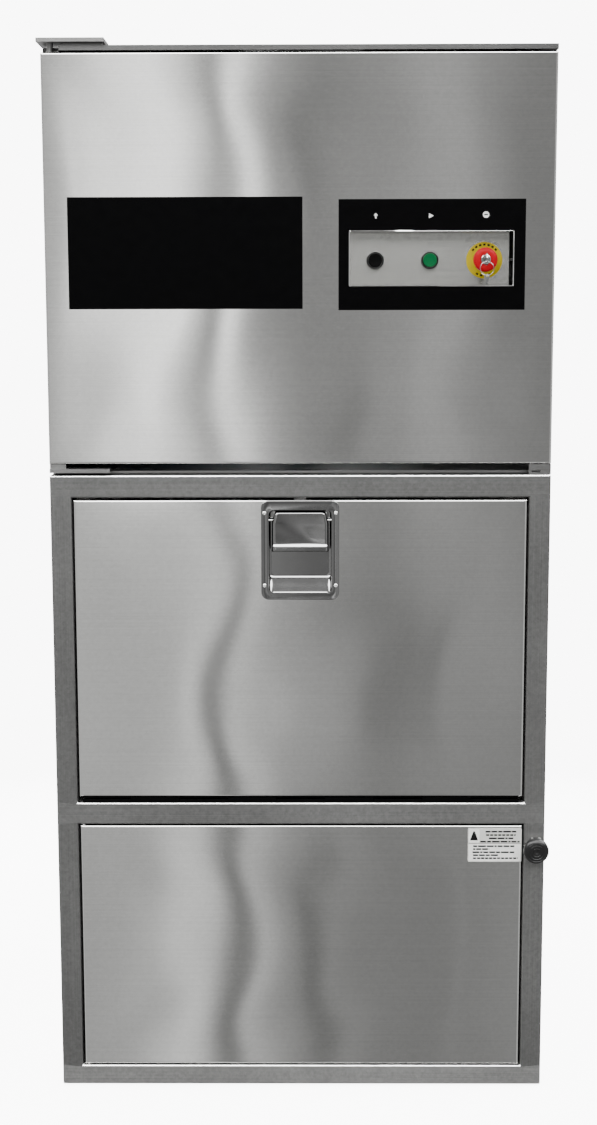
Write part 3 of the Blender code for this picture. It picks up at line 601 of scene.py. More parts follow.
def build_front_frame():
    """The stiles and rails, welded and ground flush, as one frame with rounded tube edges; its rails and stiles
    carry painted shade and its upward edge bevels a painted highlight.
    """
    left = node_box("stile_left")
    right = node_box("stile_right")
    rails = [node_box(n) for n in ("rail_bottom", "rail_middle", "rail_top")]
    depth = left[3]
    mesh = bmesh.new()
    levels = [z for rail in rails for z in rail[4:]]
    grid = [[mesh.verts.new((x, 0, z)) for z in levels] for x in left[:2] + right[:2]]
    faces = []
    for i in range(3):
        for j in range(5):
            if i == 1 and j in (1, 3):
                continue
            quad = mesh.faces.new((grid[i][j], grid[i + 1][j], grid[i + 1][j + 1], grid[i][j + 1]))
            # Painted shade: each rail row and the stiles take their own darker copy of the steel.
            frame_shade = STILE_PAINTED_SHADE if j in (1, 3) else RAIL_PAINTED_SHADE[j]
            quad.material_index = FRAME_SHADES_AND_HIGHLIGHT.index(frame_shade)
            faces.append(quad)
    extruded = bmesh.ops.extrude_face_region(mesh, geom=faces)
    moved = [g for g in extruded["geom"] if isinstance(g, bmesh.types.BMVert)]
    bmesh.ops.translate(mesh, vec=(0, depth, 0), verts=moved)
    closed(mesh)
    obj = make("front_frame", mesh, FRAME_SHADES_AND_HIGHLIGHT, 35)
    shaft = node_centre("knob_escutcheon")
    carve(obj, bar(SHAFT_BORE, -5, depth + 5, (shaft[0], 0, shaft[2]), "y", 32))
    bevel(obj, TUBE_EDGE, 4)
    settle(obj)
    # Painted highlight: bevel faces that look up and forward take the bright steel.
    for face in obj.data.polygons:
        if face.normal.y < -0.02 and face.normal.z > 0.15:
            face.material_index = FRAME_SHADES_AND_HIGHLIGHT.index(EDGE_PAINTED_HIGHLIGHT)
    fit(obj, "stile_left", "stile_right", "rail_bottom", "rail_middle", "rail_top")


# ---- latch

# The cup's opening and floor.
CUP_HALF_WIDTH = 52.5
CUP_BOTTOM = 876.8
CUP_TOP = 1017.3
CUP_DEPTH = 19.8
CUP_RISE = 25.9
CUP_CORNER = 8
CUP_BEND = 2.5
# The flange and the roll into the cup: distance in from the flange's outline or out from the cup's,
# and depth.
FLANGE_CORNER = 13
FLANGE = ((0, -0.35), (0, -0.9), (0.5, -1.35), (1.4, -1.5), (2.6, -1.3), (3.6, -0.95))
CUP_LIP = ((2.2, -0.95), (1.2, -1.35), (0.35, -1.1), (0, -0.2))
LATCH_SCREWS = ((-60, 1012.6), (60, 1012.6), (-60, 890), (60, 890))


def build_latch():
    _, x1, _, _, z0, z1 = node_box("latch_cup")

    def loop(half, low, top, radius, depth):
        return [(x, depth, z) for x, z in rounded_loop(-half, half, low, top, radius, 8)]

    loops = []
    for inset, depth in FLANGE:
        loops.append(loop(x1 - inset, z0 + inset, z1 - inset, FLANGE_CORNER - inset, depth))
    rings = [(-grow, 0, depth) for grow, depth in CUP_LIP]
    for k in range(1, 13):
        depth = (CUP_DEPTH - CUP_BEND) * k / 12
        share = depth / CUP_DEPTH - 0.02 * math.sin(2 * math.pi * depth / CUP_DEPTH)
        rings.append((0, CUP_RISE * share, depth))
    for turn in (22.5, 45, 67.5, 90):
        t = math.radians(turn)
        depth = CUP_DEPTH - CUP_BEND + CUP_BEND * math.sin(t)
        rings.append((CUP_BEND * (1 - math.cos(t)), CUP_RISE * depth / CUP_DEPTH, depth))
    rings.append((3.7, CUP_RISE, CUP_DEPTH))
    for inset, rise, depth in rings:
        low = CUP_BOTTOM + rise + inset
        loops.append(loop(CUP_HALF_WIDTH - inset, low, CUP_TOP - inset, CUP_CORNER - inset, depth))
    mesh = loft(loops, cap_ends=False)
    mesh.verts.ensure_lookup_table()
    mesh.faces.new(mesh.verts[-len(loops[0]):])
    cup = make("latch_dish", face_front(mesh), PRESSED, 50)
    thicken(cup, 0.9)
    fit(cup, "latch_cup")
    _, py, pz = joint_place("latch_paddle_hinge")
    reach = CUP_HALF_WIDTH + 0.4
    add(make("paddle_pin", bar(2, -reach, reach, (0, py, pz), "x"), CHROME), "latch_cup")
    for number, (x, z) in enumerate(LATCH_SCREWS):
        screw("latch_screw_%d" % (number + 1), x, z, -0.9, 3.3, "latch_cup", CHROME)
    build_paddle(py, pz)
    finished("latch_bolt", CHROME, 0.7)


PADDLE_HALF_WIDTH = 47.7
PADDLE_COLUMNS = 30
LIP_Z = 957
DISH = 1.1
DENT = 0.25
EDGE_RISE = 2.2
EAR_SHEET = 2


def build_paddle(py, pz):
    """The pressed paddle: a dished plate with a rolled pull lip, raised edges and two ears on the pin."""
    path = [(9.5, pz + 13.6), (6, pz + 14), (3.2, pz + 13.4), (2.2, pz + 11.6), (2, pz + 9)]
    path += [(2, pz - 5 - 2.5 * k) for k in range(14)]
    path += [(1.6, LIP_Z + 1.6), (0.4, LIP_Z), (-0.3, LIP_Z - 3), (-0.5, LIP_Z - 6)]
    path += arc((3.2, LIP_Z - 6.4), 3.7, 184, 330, 9)
    mesh = bmesh.new()
    rows = []
    for y, z in path:
        row = []
        hollow = min(1, max(0, (pz + 9 - z) / 12), max(0, (z - LIP_Z) / 10))
        reach = PADDLE_HALF_WIDTH - max(0, min(7, 0.9 * (z - pz - 5.5)))
        for i in range(PADDLE_COLUMNS + 1):
            u = 2 * i / PADDLE_COLUMNS - 1
            edge = max(0, (abs(u) - 0.95) / 0.05)
            dish = DISH * (1 - u * u) * hollow
            dent = DENT * math.sin(z / 7 + 2.4 * u) * (dish / DISH)
            row.append(mesh.verts.new((reach * u, y + dish + dent + EDGE_RISE * edge, z)))
        rows.append(row)
    for one, two in zip(rows, rows[1:]):
        for i in range(PADDLE_COLUMNS):
            mesh.faces.new((one[i], one[i + 1], two[i + 1], two[i]))
    plate = make("paddle_plate", face_front(mesh), PRESSED, 60)
    thicken(plate, 1.2)
    fit(plate, "latch_paddle")
    for side in (-1, 1):
        outline = arc((py, pz), 5.6, -60, 60, 10)
        outline += [(4.2, pz + 10), (3.4, pz + 10), (3.4, pz - 10), (4.2, pz - 10)]
        inner = PADDLE_HALF_WIDTH - 5
        low, high = sorted((side * inner, side * (inner + EAR_SHEET)))
        ear = make("paddle_ear_" + ("left" if side < 0 else "right"), prism(outline, "x", low, high), PRESSED)
        carve(ear, bar(2.4, -60, 60, (0, py, pz), "x"))
        add(ear, "latch_paddle")


def screw(name, x, z, y, radius, node, mat):
    """A pan-head cross-recess screw standing on a surface that faces the front."""
    top = radius * 0.55
    profile = [(0, y), (radius, y), (radius, y - top * 0.35), (radius * 0.86, y - top * 0.8)]
    profile += [(radius * 0.5, y - top), (0, y - top)]
    head = lathe(name, profile, x, z, mat, 28, 45)
    arm = radius * 0.55
    slot = radius * 0.11
    low, high = y - top - 1, y - top * 0.45
    cross = [box(x - a, x + a, low, high, z - b, z + b) for a, b in ((arm, slot), (slot, arm))]
    carve(head, *cross)
    return add(head, node)


# ---- controls

def build_controls():
    finished("control_panel", STEEL_PANEL, 0.4)
    finished("control_box", GREY_ENAMEL, 0.6)
    plate = make("name_panel", box(*node_box("nameplate")), BLACK_LAMINATE)
    bevel(plate, 0.35, 2)
    fit(plate, "nameplate")
    bezel = make("bezel_panel", box(*node_box("control_bezel")), BLACK_LAMINATE)
    carve(bezel, box(*window_box()))
    bevel(bezel, 0.3, 2)
    fit(bezel, "control_bezel")
    build_edge_trim()
    build_icons()
    for which, cap in (("up", BLACK_CAP), ("start", GREEN_CAP)):
        build_button(which, cap)
    build_stop_switch()


# How far a symbol's ink lies before the bezel's face, as (front, back).
SIGN_DEPTHS = (-0.12, -0.01)


def build_edge_trim():
    """The door sheet's bright cut edge inside the window."""
    x0, x1, _, _, z0, z1 = window_box()

    def ring(inset, corner, depth):
        outline = rounded_loop(x0 + inset, x1 - inset, z0 + inset, z1 - inset, corner, 5)
        return [(x, depth, z) for x, z in outline]

    loops = [ring(0.1, 2.4, -1.2), ring(1.5, 1.4, -1), ring(1.5, 1.4, 1.6), ring(0.1, 2.4, 1.6)]
    mesh = loft(loops + [loops[0]], cap_ends=False)
    bmesh.ops.remove_doubles(mesh, verts=mesh.verts, dist=1e-5)
    add(make("window_edge", closed(mesh), CHROME, 30), "head_door")


def icon(name, outline, *cuts):
    face = node_box("control_bezel")[2]
    front, back = SIGN_DEPTHS
    sign = make(name, prism(outline, "y", face + front, face + back), WHITE_INK)
    carve(sign, *cuts)
    add(sign, "control_bezel")


def build_icons():
    """White symbols over the controls: an arrow, a start mark and a stop mark."""
    _, _, face, _, _, top = node_box("control_bezel")
    z = top - 27
    up, start, stop = [node_centre(n)[0] for n in ("up_button", "start_button", "estop_head")]
    arrow = [(up - 1.1, z - 4), (up + 1.1, z - 4), (up + 1.1, z + 0.5), (up + 3.6, z + 0.5), (up, z + 4.5)]
    arrow += [(up - 3.6, z + 0.5), (up - 1.1, z + 0.5)]
    icon("icon_up", arrow)
    icon("icon_start", [(start - 3.2, z - 4), (start + 4.2, z), (start - 3.2, z + 4)])
    octagon = arc((stop, z + 1.5), 5.4, 22.5, 337.5, 7)
    icon("icon_stop", octagon, box(stop - 3.2, stop + 3.2, face - 1, face + 1, z + 0.5, z + 2.5))


# Turned profiles of the controls: radius, then depth behind the face they are measured from.
BEZEL_FRONT = ((12, 0.8), (12.4, 0.2), (13.2, 0), (13.9, 0.4), (14.3, 1.5))
CAP_FACE = ((0, 0.7), (3, 0.66), (6, 0.5), (8.6, 0.22), (10, 0.02), (10.7, 0.12))
STEM = 4
MUSHROOM = (
    (8.3, 0.7), (8.9, 0.15), (10, 0), (13, 0.15), (15.6, 0.75), (17.6, 1.8), (19, 3.4), (19.8, 5.4),
)
MUSHROOM_BACK = ((19.6, 10.4), (18.6, 11), (16.5, 10.8), (9.5, 10.6), (8, 11.5))


def build_button(which, cap_mat):
    x, _, z = node_centre(which + "_button")
    r, front, back = round_node(which + "_bezel")
    profile = from_face(front, BEZEL_FRONT)
    profile += from_face(back, ((14.5, -1.8), (r, -1.2), (r, 0), (12, 0)))
    fit(lathe(which + "_ring", profile, x, z, BLACK_KNOB), which + "_bezel")
    r, front, back = round_node(which + "_button")
    side = ((r - 0.15, 0.6), (r, 1.4), (r, 5.5), (STEM, 5.5))
    profile = from_face(front, CAP_FACE + side) + [(STEM, back), (0, back)]
    fit(lathe(which + "_cap", profile, x, z, cap_mat), which + "_button")


# Dashes on the yellow ring: first angle and count of each row, then the pitch, the length and the radii.
DASH_ROWS = ((38, 7), (238, 4))
DASH_PITCH = 16
DASH_ANGLE = 9
DASH_OUTER = 26.8
DASH_INNER = 23.6
COLLAR_BORE = 8.6


def build_stop_switch():
    x, _, z = node_centre("estop_head")
    r, front, back = round_node("estop_legend")
    rim = ((12.4, 0.2), (12.8, 0), (r - 0.8, 0), (r - 0.2, 0.3), (r, 0.8))
    profile = from_face(front, rim) + [(r, back), (12.4, back)]
    fit(lathe("legend_disc", profile, x, z, YELLOW, 96, 30), "estop_legend")
    marks = bmesh.new()
    for start, count in DASH_ROWS:
        for k in range(count):
            first = start + DASH_PITCH * k
            last = first + DASH_ANGLE
            tile = arc((x, z), DASH_OUTER, first, last, 4) + arc((x, z), DASH_INNER, last, first, 4)
            marks = merge(marks, prism(tile, "y", front - 0.1, front - 0.01))
    add(make("legend_marks", marks, INK), "estop_legend")
    r, front, back = round_node("estop_collar")
    profile = [(COLLAR_BORE, front), (r - 0.8, front), (r, front + 0.8), (r, back), (COLLAR_BORE, back)]
    fit(lathe("switch_collar", profile, x, z, GREY_COLLAR, 64), "estop_collar")
    r, front, back = round_node("estop_head")
    outside = MUSHROOM + ((r, 7.4), (r, 9.2)) + MUSHROOM_BACK
    profile = [(0, 0), (8.3, 0)] + from_face(front, outside)
    profile += [(8, 14), (STEM, 14), (STEM, back), (0, back)]
    fit(lathe("mushroom_head", profile, x, z, RED_CAP, 96), "estop_head")
    build_key(x, z)


# The lock plug's profile, by depth from the front plane, and the key ring.
PLUG = [
    (0, -0.3), (8, -0.3), (8, -8.4), (7.7, -9.1), (7, -9.6), (5.6, -9.6), (5.3, -9.2), (0, -9.2),
]
RING_Y = -28
RING_RADIUS = 11.2
RING_WIRE = 0.9
RING_TURNS = 1.85
RING_STEPS = 120
RING_SIDES = 8
# How far each end of the coil is pushed forward or back, and the wire's half thickness out and back.
COIL_SHIFT = 0.42
WIRE_HALF = (0.46, 0.42)


def build_key(x, z):
    """The lock plug with its key, and the split ring that carries a spare key."""
    plug = lathe("lock_plug", PLUG, x, z, KEY_METAL, 64, 30)
    carve(plug, box(x - 0.75, x + 0.75, -12, -8.2, z - 4, z + 4))
    add(plug, "estop_key")
    bow = [(-4, z + 3.2), (-12.6, z + 3.2), (-13.4, z + 5)]
    bow += arc((-22.5, z), 10.4, 32, 328, 40)
    bow += [(-13.4, z - 5), (-12.6, z - 3.2), (-4, z - 3.2)]
    key = make("lock_key", prism(bow, "x", x - 1.05, x + 1.05), KEY_METAL)
    carve(key, bar(3, x - 5, x + 5, (0, RING_Y, z - 2), "x", 32))
    bevel(key, 0.3, 2)
    fit(key, "estop_key")
    _, _, _, _, rz0, rz1 = node_box("key_ring")
    centre_z = rz1 - RING_WIRE - RING_RADIUS
    rings = []
    for k in range(RING_STEPS + 1):
        turn = math.pi / 2 + 2 * math.pi * RING_TURNS * k / RING_STEPS
        crossing = min(1, max(0, (k / RING_STEPS * RING_TURNS - 0.75) * 4))
        depth = RING_Y + (2 * COIL_SHIFT * crossing - COIL_SHIFT)
        ring = []
        for n in range(RING_SIDES):
            phase = 2 * math.pi * n / RING_SIDES
            r = RING_RADIUS + WIRE_HALF[0] * math.cos(phase)
            y = depth + WIRE_HALF[1] * math.sin(phase)
            ring.append((x + r * math.cos(turn), y, centre_z + r * math.sin(turn)))
        rings.append(ring)
    fit(make("split_ring", loft(rings), KEY_METAL, 60), "key_ring")
    low = centre_z - RING_RADIUS
    blade = [(x - 2, rz0 + 1.5), (x - 0.6, rz0), (x + 1.4, rz0), (x + 2.1, rz0 + 1.2), (x + 1.3, rz0 + 2.2)]
    blade += [(x + 2.1, rz0 + 3.4), (x + 1.5, rz0 + 4.6), (x + 2.1, rz0 + 5.8), (x + 2.1, low - 6.4)]
    blade += arc((x, low - 2.5), 4.6, -55, 235, 26)
    blade += [(x - 2, low - 6.4)]
    spare = make("spare_key", prism(blade, "y", RING_Y - 0.65, RING_Y + 0.65), KEY_METAL)
    carve(spare, bar(1.7, RING_Y - 4, RING_Y + 4, (x, 0, low - 0.6), "y"))
    bevel(spare, 0.2, 2)
    add(spare, "key_ring")


# ---- container door fittings

# The label's print: depths before its face as (front, back), for the ground, the divider and the ink.
GROUND = (-0.05, -0.01)
DIVIDER = (-0.06, -0.01)
PRINT = (-0.11, -0.06)
# Rows of bars: first and last place across the label, and the distance below its top edge.
LABEL_ROWS = [
    (30, 83, 6.2), (31, 82, 12.2), (36, 78, 18), (21, 89, 24), (9, 80, 32),
    (9, 37, 37.2), (8, 80, 42.8), (9, 52, 48), (9, 86, 53.4),
]
BAR_HALF_HEIGHT = 1.45
BAR_GAP = 1.3


def build_label():
    x0, x1, face, back, z0, z1 = node_box("info_label")
    film = make("label_sheet", prism(rounded_loop(x0, x1, z0, z1, 2, 5), "y", face, back), LABEL_FILM)
    fit(film, "info_label")

    def printed(name, outline, depths, mat):
        front, back = depths
        add(make(name, prism(outline, "y", face + front, face + back), mat), "info_label")

    patch = rounded_loop(x0 + 1.4, x0 + 20, z1 - 25.6, z1 - 1.4, 3, 5)
    printed("label_patch", patch, GROUND, LABEL_WHITE)
    text = rounded_loop(x0 + 1.4, x1 - 1.4, z0 + 1.4, z1 - 28.4, 1.2, 5)
    printed("label_block", text, GROUND, LABEL_WHITE)
    cx, cz = x0 + 10.5, z1 - 13
    triangle = [(cx - 7, cz - 8.6), (cx + 7, cz - 8.6), (cx + 1.2, cz + 7.4), (cx - 1.2, cz + 7.4)]
    printed("label_triangle", triangle, PRINT, INK)
    front, back = DIVIDER
    divider = box(x0 + 1, x1 - 1, face + front, face + back, z1 - 27.5, z1 - 27)
    add(make("label_divider", divider, GREY_INK), "info_label")
    front, back = PRINT
    for number, (start, end, drop) in enumerate(LABEL_ROWS):
        row = bmesh.new()
        spot = start
        k = number
        low, high = z1 - drop - BAR_HALF_HEIGHT, z1 - drop + BAR_HALF_HEIGHT
        while spot < end:
            k = (k * 5 + 3) % 7
            width = min(4 + 1.6 * k, end - spot)
            row = merge(row, box(x0 + spot, x0 + spot + width, face + front, face + back, low, high))
            spot += width + BAR_GAP
        add(make("label_line_%d" % (number + 1), row, INK), "info_label")


# The knob's stepped face and grip, and its studs: radius, then depth.
KNOB_FACE = (
    (0, 0.5), (2, 0.45), (2.6, 0.05), (6.5, 0), (7, 0.55), (7.6, 0.1), (11.5, 0.45), (12, 1.05),
    (12.6, 0.65), (16, 1.3), (16.5, 1.95), (17.1, 1.6), (19.4, 2.6), (20.8, 4),
)
SOCKET = 5.3
ROSE_FACE = ((6, 0.2), (6.6, 0), (10, 0), (13.6, 0.5), (15.2, 1.2))
STUD = [(0, -9), (3, -9), (3, -4.6), (2.5, -3.4), (1.4, -2.8), (0, -2.7)]
STUD_CIRCLE = 19
STUD_ANGLES = (71, 109, 147, 213, 251, 289)


def build_knob():
    """The container door's turn knob, with its plated studs, on a bright rose."""
    x, _, z = node_centre("latch_knob")
    r, front, back = round_node("latch_knob")
    profile = from_face(front, KNOB_FACE + ((r, 6), (r, 14), (20.6, 16.2), (18, 17.6)))
    profile += [(13, back), (SOCKET, back), (SOCKET, back - 6), (0, back - 6)]
    fit(lathe("turn_knob", profile, x, z, BLACK_KNOB, 96), "latch_knob")
    r, front, back = round_node("knob_escutcheon")
    profile = from_face(front, ROSE_FACE) + [(r, back), (6, back)]
    fit(lathe("knob_rose", profile, x, z, SATIN), "knob_escutcheon")
    for k, degrees in enumerate(STUD_ANGLES):
        turn = math.radians(degrees)
        sx, sz = x + STUD_CIRCLE * math.cos(turn), z + STUD_CIRCLE * math.sin(turn)
        add(lathe("knob_stud_%d" % (k + 1), STUD, sx, sz, SATIN, 20, 60), "latch_knob")
    finished("latch_shaft", CHROME, 0.5)


# ---- cabinet and insides

# Pieces that keep their CAD shape: finish, edge width, edge segments and nodes.
PLAIN_PIECES = (
    (STEEL_SIDE, 0.6, 2, ("side_panel_left", "side_panel_right", "head_side_left", "head_side_right")),
    (STEEL_BACK, 0.5, 2, ("back_panel", "head_back")),
    (STEEL_INNER, 0.4, 2, ("base_plate", "head_floor", "chamber_liner", "loading_door_liner")),
    (STEEL_TOP, 0.7, 2, ("top_cover",)),
    (STEEL_PLATE, 0.6, 2, ("door_rest",)),
    (STEEL_PLATE, 0.8, 3, ("hinge_plate_top", "hinge_plate_bottom")),
    # The hinge leaves and pin carry painted shade: near-black for the dark gap.
    (HINGE_PAINTED_SHADE, 0.2, 2, ("hinge_leaf_frame", "hinge_leaf_door", "loading_hinge_pin")),
    (CHROME, 0.3, 2, ("container_hinge_rod",)),
    (RUBBER, 0.5, 2, ("skid_left", "skid_right")),
    (BLACK_CAP, 0.5, 2, ("cable_gland",)),
)
SOCKET_HEAD = (
    (0, 0.5), (1.8, 0.5), (1.8, 1.9), (2.6, 1.9), (3.7, 1.5), (4.5, 0.6), (4.5, 0.02), (0, 0.02),
)
# Back screws: rows up each side of a sheet, columns across it, and how far they stand in from its edges.
SCREW_ROWS = {"back_panel": 6, "head_back": 5}
SCREW_COLUMNS = 5
SCREW_SIDE = 8
SCREW_END = 22


def spaced(low, high, count):
    return [low + (high - low) * k / (count - 1) for k in range(count)]


def build_cabinet():
    for mat, width, segments, nodes in PLAIN_PIECES:
        for node in nodes:
            obj = finished(node, mat, width, segments)
            # Painted shade: the top cover's front-facing faces take a darker copy of its steel.
            if node == "top_cover":
                obj.data.materials.append(TOP_COVER_PAINTED_SHADE)
                for face in obj.data.polygons:
                    if face.normal.y < -0.9:
                        face.material_index = 1
    for node, rows in SCREW_ROWS.items():
        x0, x1, _, back, z0, z1 = node_box(node)
        left, right, low, high = x0 + SCREW_SIDE, x1 - SCREW_SIDE, z0 + SCREW_END, z1 - SCREW_END
        spots = [(side, z) for side in (left, right) for z in spaced(low, high, rows)]
        spots += [(x, level) for level in (low, high) for x in spaced(left, right, SCREW_COLUMNS)[1:-1]]
        heads = bmesh.new()
        for x, z in spots:
            heads = merge(heads, turned(from_face(back, SOCKET_HEAD), (x, 0, z), "y", 20))
        add(make(node + "_screws", heads, SATIN), node)


MOTOR_RIBS = 36
# One rib of the motor's shell: angle from its middle in degrees, and depth below its crest.
RIB = ((-3.2, 8), (-1.4, 7.6), (-0.9, 0), (0.9, 0), (1.4, 7.6))
FOOT_HEIGHT = 26
COWL_HEIGHT = 30


def build_motor():
    """The pump motor: a ribbed shell between two end bells."""
    x, y, _ = node_centre("pump_motor")
    x0, x1, _, _, z0, z1 = node_box("pump_motor")
    outer = (x1 - x0) / 2 - 0.2
    shell = []
    for k in range(MOTOR_RIBS):
        for step, drop in RIB:
            angle = math.radians(360 / MOTOR_RIBS * k + step)
            shell.append((x + (outer - drop) * math.cos(angle), y + (outer - drop) * math.sin(angle)))
    ribs = prism(shell, "z", z0 + FOOT_HEIGHT, z1 - COWL_HEIGHT)
    bell = outer - 3
    foot = ((0, 0), (bell, 0), (bell, 24), (bell - 2, FOOT_HEIGHT), (0, FOOT_HEIGHT))
    foot = from_face(z0, foot)
    cowl = ((0, -COWL_HEIGHT), (bell - 1, -COWL_HEIGHT), (bell, -28), (bell, -12), (bell - 4, -4))
    cowl = from_face(z1, cowl + ((bell - 14, 0), (0, 0)))
    fit(make("motor_ribs", ribs, GREY_ENAMEL, 35), "pump_motor")
    for name, profile in (("motor_foot", foot), ("motor_cowl", cowl)):
        add(make(name, turned(profile, (x, y, 0), "z", 64), GREY_ENAMEL, 35), "pump_motor")


FILLER_CAP = (
    (0, 0), (15, 0), (15, 8), (20, 9), (21, 12), (21, 24), (18, 27), (0, 27.5),
)
SEAT_GAP = 0.05


def build_tank_fittings():
    """The tank's filler cap and its level gauge."""
    x0, x1, y0, y1, z0, z1 = node_box("hydraulic_tank")
    cap = turned(from_face(z1 + SEAT_GAP, FILLER_CAP), (x1 - 28, y1 - 40, 0), "z", 48)
    add(make("filler_cap", cap, BLACK_KNOB), "hydraulic_tank")
    face = y0 - SEAT_GAP
    gauge = prism(rounded_loop(x0 + 30, x0 + 52, z0 + 60, z1 - 60, 10), "y", face - 9, face)
    gauge = make("level_gauge", gauge, SATIN)
    bevel(gauge, 1.2, 2)
    add(gauge, "hydraulic_tank")
    glass = prism(rounded_loop(x0 + 36, x0 + 46, z0 + 78, z1 - 78, 4.5), "y", face - 10, face - 9.1)
    add(make("gauge_glass", glass, YELLOW), "hydraulic_tank")


def build_insides():
    finished("platen", PLATEN_PAINT, 1.2)
    finished("ram_rod", CHROME, 0.6)
    finished("cylinder_barrel", BLACK_ENAMEL, 1)
    finished("hydraulic_tank", BLUE_ENAMEL, 6, 4)
    build_motor()
    build_tank_fittings()
    finished("valve_block", ALLOY, 1.5)
    finished("container", BLACK_ENAMEL, 0.6)
    for node in ("hose_upper", "hose_lower"):
        materials = frame["nodes"][node].data.materials
        materials.clear()
        materials.append(HOSE)


# ---- studio

# The floor: half its width and its height in millimetres, its glow, and where it fades out, in metres.
FLOOR_REACH = 6000
FLOOR_Z = -0.5
FLOOR_GLOW = 7.5
FLOOR_FADE = (0.7, 1.9)


def build_floor():
    """A pale floor that has faded into the bright backdrop two metres out."""
    mesh = bmesh.new()
    far = FLOOR_REACH
    corners = ((-far, -far), (far, -far), (far, far), (-far, far))
    mesh.faces.new([mesh.verts.new((x, y, FLOOR_Z)) for x, y in corners])
    pale = Shader("pale_floor", (0.92, 0.92, 0.915), 0, 0.85, Emission_Strength=FLOOR_GLOW)
    pale.feed((1, 1, 1, 1), pale.bsdf.inputs["Emission Color"])
    pale.vary_color(pale.noise((4, 4, 4), 3), 0.985, 1.01)
    reach = pale.node("VectorMath", {0: pale.coord.outputs["Object"]}, operation="LENGTH").outputs["Value"]
    clear = pale.node("BsdfTransparent")
    faded = {0: pale.span(reach, *FLOOR_FADE), 1: pale.bsdf.outputs[0], 2: clear.outputs[0]}
    blend = pale.node("MixShader", faded)
    pale.feed(blend.outputs[0], pale.tree.nodes["Material Output"].inputs["Surface"])
    floor = make("floor", mesh, pale.mat)
    floor.visible_glossy = False
    floor.visible_diffuse = False


# The camera: lens in millimetres, place from the middle of the front plane's foot, and its pan, tilt
# and roll in degrees.
LENS = 54.4
CAMERA_PLACE = (19.9, -2831.2, 1328.4)
CAMERA_TURNS = ((0.46, "Z"), (90 - 8.028, "X"), (-0.137, "Z"))


def build_camera():
    camera = bpy.data.objects.new("camera", bpy.data.cameras.new("camera"))
    bpy.context.collection.objects.link(camera)
    camera.data.sensor_width = 36
    camera.data.lens = LENS
    camera.data.clip_end = 100
    x, y, z = CAMERA_PLACE
    place = Matrix.Translation((x * MM, FRONT + y * MM, z * MM))
    for degrees, axis in CAMERA_TURNS:
        place = place @ Matrix.Rotation(math.radians(degrees), 4, axis)
    camera.matrix_world = place
    bpy.context.scene.camera = camera


BACKDROP = 9
OVERHEAD = 18
CEILING = 0.8
WALL_TOP = 0.9
AMBIENT = 0.7
# Brightness by height: where each band begins and is full, in degrees up, and its value.
SKY = ((14, 26, WALL_TOP), (28, 34, OVERHEAD), (52, 58, CEILING), (72, 78, OVERHEAD))
# Where the room seen by one door passes into the next one's, in degrees up, and the sides of that room.
LOWER_DOOR = (-18.5, -14)
UPPER_DOOR = (-7, -4)
ROOM_SIDES = (10, 20)
# Brightness of the room that the front reflects, by direction: degrees to the right, then the values
# seen by the upper door, the middle door and the lower door.
ROOM = [
    (-12, 1, 0.9, 0.6), (-8.8, 0.72, 0.78, 0.6), (-7.8, 1.3, 0.8, 0.62), (-6.6, 2.35, 0.76, 0.66),
    (-5.4, 2.8, 0.8, 1), (-4.6, 2, 0.9, 1.3), (-4, 1.3, 1.25, 1.1), (-3.5, 0.45, 1.1, 0.5),
    (-3.1, 0.45, 0.3, 0.22), (-2.6, 3, 0.28, 0.26), (-2.2, 2, 1.15, 0.9), (-1.7, 0.85, 0.95, 0.7),
    (-0.9, 0.54, 0.58, 0.46), (0, 0.38, 0.54, 0.34), (0.9, 0.39, 0.44, 0.42), (2.4, 0.45, 0.37, 0.31),
    (3.9, 0.6, 0.46, 0.3), (4.7, 0.6, 0.44, 0.31), (5.8, 0.41, 0.39, 0.33), (7.6, 0.31, 0.35, 0.37),
    (9, 0.32, 0.36, 0.39), (12, 0.45, 0.4, 0.4),
]
SURROUND = [
    (-180, 0.8), (-140, 1), (-100, 0.7), (-75, 1.15), (-50, 0.55), (-32, 1.1), (-20, 0.6),
    (20, 0.6), (34, 1), (52, 0.5), (78, 1.1), (104, 0.65), (140, 1), (180, 0.8),
]
# Upright bands beside and behind the object: width in degrees, and strength.
BAND_WIDTH = 15
BAND_STRENGTH = 0.45
# Soft shapes in the room: degrees right and up, half sizes, softness, brightness, strength.
SHAPES = [
    (3.75, -10.4, 0.85, 0.65, 0.2, 0.46, 0.9),
    (3, -11.8, 1.7, 2.6, 0.35, 0.24, 0.75),
    (6.3, -9.2, 0.9, 3.2, 0.4, 0.48, 0.6),
    (0.45, -21.2, 0.42, 3.4, 0.12, 0.17, 0.9),
    (4.9, -21.5, 0.12, 3.6, 0.1, 0.44, 0.8),
    (-5.9, -19.6, 0.5, 3, 0.3, 0.55, 0.6),
    (-0.6, 4.6, 0.5, 1.6, 0.15, 0.62, 0.6),
    (-0.1, 6.9, 1.2, 0.14, 0.1, 0.2, 0.8),
    (-0.1, 5.9, 1.2, 0.14, 0.1, 0.2, 0.7),
    (-0.1, 4.9, 1.2, 0.14, 0.1, 0.2, 0.6),
    (0.35, 5.9, 0.14, 2.2, 0.1, 0.2, 0.7),
    (2.1, -2.4, 0.95, 1.5, 0.3, 0.52, 0.75),
    (1, -3.6, 0.5, 1.2, 0.2, 0.25, 0.7),
    (-7.6, 3.6, 0.22, 3.4, 0.14, 3.4, 0.5),
    (-4.9, 3.2, 0.25, 4, 0.15, 3.6, 0.6),
    (-6.9, -1.6, 0.5, 1.2, 0.4, 1.1, 0.6),
    (5.9, 1.6, 0.16, 5, 0.12, 0.52, 0.5),
]


